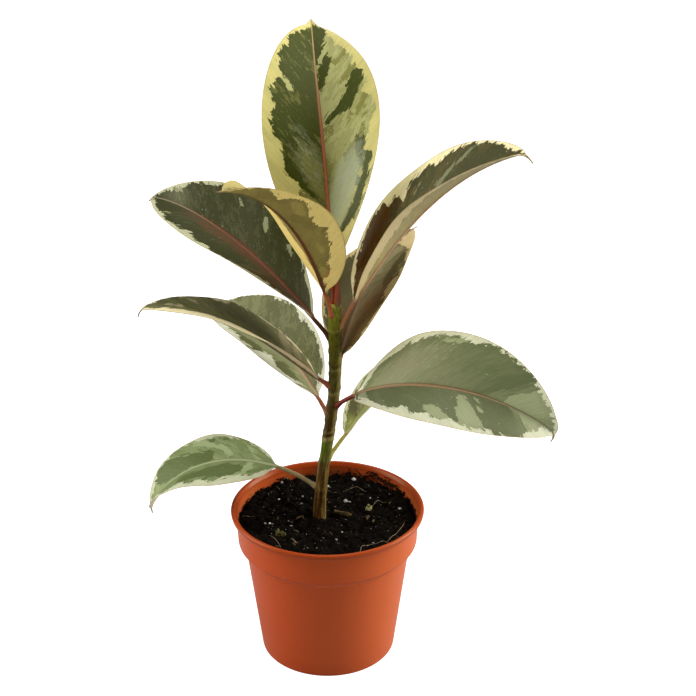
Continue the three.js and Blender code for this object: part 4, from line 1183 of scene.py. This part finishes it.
def path_on_soil(surface, stops):
    """A smooth path over the soil through (x, y) stops, arching up a little between them."""
    stops, count = np.array(stops, float), len(stops)
    t = np.linspace(0, count - 1, FIBRE_STEPS)
    x, y = (smoothed(np.interp(t, range(count), stops[:, k]), 40) for k in range(2))
    arch = np.sin(np.pi * np.linspace(0, 1, FIBRE_STEPS))
    return np.stack([x, y, smoothed(surface(x, y), 16) + FIBRE_LIFT * (0.3 + arch)], 1)


def build_fibres(surface):
    shapes = [tube(path_on_soil(surface, stops), 0.09 if i > 2 else 0.13) for i, stops in enumerate(FIBRES)]
    strewn("root_fibres", shapes, (0.30, 0.22, 0.11), (0.50, 0.42, 0.27), "bark_chip", shade_smooth=True)


def flake(random, length, width, thick):
    """A thin curled scrap of bark or leaf."""
    rings = []
    for k in np.linspace(-1, 1, 9):
        w = width * max(0.12, 1 - abs(k) ** 2.5) * random.uniform(0.8, 1.1)
        arch = 0.22 * length * (1 - k * k) * 0.5
        section = [(-w, 0), (-w * 0.5, thick), (w * 0.5, thick * 1.1), (w, 0), (w * 0.5, -thick),
                   (-w * 0.5, -thick)]
        rings.append([(k * length / 2, y, z + arch) for y, z in section])
    faces = ring_faces(len(rings), len(section))
    return turned(np.array(rings).reshape(-1, 3), random.uniform(0, 2 * np.pi)), faces


def build_scraps(surface):
    random = np.random.default_rng(SCRAP_SEED)
    bark = []
    for x, y, length, width in BARK_SCRAPS:
        points, faces = flake(random, length, width, 0.3)
        bark.append((points + surface.at(x, y, 0.5), faces))
    for x, y in scattered(random, SMALL_SCRAPS, SCRAP_REACH, SCRAP_CLEAR):
        points, faces = flake(random, random.uniform(1.5, 4), random.uniform(0.2, 0.5), 0.15)
        bark.append((points + surface.at(x, y, 0.1), faces))
    strewn("bark_scraps", bark, (0.035, 0.022, 0.008), (0.16, 0.11, 0.045), "bark_chip", shade_smooth=True)
    for name, scraps, *colours in (("leaf_scraps", LEAF_SCRAPS, (0.30, 0.31, 0.08), (0.66, 0.64, 0.33)),
                                   ("olive_scraps", OLIVE_SCRAPS, (0.025, 0.022, 0.004), (0.13, 0.12, 0.03))):
        lumps = []
        for x, y, lift, size in scraps:
            points, faces = lump_shape(random, size, squash=1.8)
            lumps.append((points + surface.at(x, y, lift), faces))
        strewn(name, lumps, *colours, "bark_chip")


def sliver_material():
    shader = Shader("bark_chip")
    fibres = shader.noise(shader.place(), (120, 900, 900), detail=4)
    colour = shader.blend(shader.step(fibres, 0.38, 0.62), (0.020, 0.015, 0.004), (0.13, 0.085, 0.028))
    shader.set(Base_Color=colour, Roughness=0.8, Specular_IOR_Level=0.1)
    shader.bump(fibres, 0.6, 0.0006)
    return shader.material


def build_sliver():
    a, tt = np.meshgrid(circle(SLIVER_SIDES), np.linspace(-0.5, 0.5, SLIVER_RINGS))
    width = (1.5 - 1.2 * np.abs(tt) - 0.6 * tt) * SLIVER_RADIUS
    width = width * (0.92 + 0.3 * wobble(a, tt * 60, 8, around=4, scale=0.7))
    x, y, z = tt * SLIVER_LENGTH, width * np.cos(a) + 3 * tt * tt, width * 0.7 * np.sin(a)
    tilt = math.radians(SLIVER_TILT)
    x, z = x * math.cos(tilt) + z * math.sin(tilt), z * math.cos(tilt) - x * math.sin(tilt)
    points = turned(np.stack([x, y, z], -1), math.radians(SLIVER_TURN)) + np.array(SLIVER_PLACE)
    mesh_object("bark_sliver_chip", points.reshape(-1, 3), ring_faces(SLIVER_RINGS, SLIVER_SIDES),
                sliver_material(), "bark_chip", "bark_sliver")


# ---------- Studio ----------
FLOOR_HALF = 6.0                 # metres
# Soft lamps as name, place and aim in metres, width, height and power.
SOFTBOXES = [("right_box", (1.25, 0.15, 0.7), (0, 0, 0.2), 0.8, 1.2, 27),
             ("left_box", (-1.25, 0, 0.7), (0, 0, 0.2), 0.8, 1.2, 18),
             ("top_box", (0, 0.35, 1.4), (0, 0, 0.2), 1.2, 1.2, 10),
             ("front_box", (0.05, -0.42, 1.25), (0, 0, 0.35), 0.8, 0.5, 4)]


def seen_or_lit(tree, seen, lit):
    """A strength that is one value for what the eye sees directly, and another for the light it gives."""
    path, made = tree.nodes.new("ShaderNodeLightPath"), tree.nodes.new("ShaderNodeMapRange")
    made.inputs["To Min"].default_value, made.inputs["To Max"].default_value = lit, seen
    tree.links.new(path.outputs["Is Camera Ray"], made.inputs["Value"])
    return made.outputs["Result"]


def build_floor():
    corners = [(x * FLOOR_HALF, y * FLOOR_HALF, 0) for x, y in ((-1, -1), (1, -1), (1, 1), (-1, 1))]
    mesh = bpy.data.meshes.new("floor")
    mesh.from_pydata(corners, [], [(0, 1, 2, 3)])
    floor = bpy.data.objects.new("floor", mesh)
    bpy.context.collection.objects.link(floor)
    shader = Shader("floor_paper")
    shader.set(Base_Color=(0.5, 0.5, 0.5), Roughness=0.9, Emission_Color=(1, 1, 1),
               Emission_Strength=seen_or_lit(shader.tree, 0.95, 0.0))
    mesh.materials.append(shader.material)


def add_softbox(name, place, aim, width, height, power):
    light = bpy.data.lights.new(name, "AREA")
    light.shape, light.size, light.size_y, light.energy = "RECTANGLE", width, height, power
    lamp = bpy.data.objects.new(name, light)
    lamp.location = place
    lamp.rotation_euler = (Vector(aim) - Vector(place)).to_track_quat("-Z", "Y").to_euler()
    bpy.context.collection.objects.link(lamp)


def build_studio():
    build_floor()
    world = bpy.data.worlds.new("studio")
    world.use_nodes = True
    sky = world.node_tree.nodes["Background"]
    sky.inputs["Color"].default_value = (1, 1, 1, 1)
    world.node_tree.links.new(seen_or_lit(world.node_tree, 1.0, 0.08), sky.inputs["Strength"])
    bpy.context.scene.world = world
    for softbox in SOFTBOXES:
        add_softbox(*softbox)


def place_camera():
    camera = bpy.data.objects.new("camera", bpy.data.cameras.new("camera"))
    camera.location = [value * MM for value in CAMERA_PLACE]
    camera.rotation_euler = (math.radians(90 - CAMERA_PITCH), 0, 0)
    camera.data.lens, camera.data.sensor_width = CAMERA_LENS, CAMERA_SENSOR
    camera.data.clip_start = 0.01
    bpy.context.collection.objects.link(camera)
    bpy.context.scene.camera = camera


def main():
    place_camera()
    bpy.context.scene.view_settings.view_transform = "Standard"
    surface = SoilSurface()
    build_pot()
    build_soil(surface)
    build_crumbs(surface)
    build_wall_crumbs()
    build_grains(surface)
    build_fibres(surface)
    build_scraps(surface)
    build_sliver()
    build_stem()
    build_bud()
    for name in LEAVES:
        build_leaf(name)
    build_studio()


main()
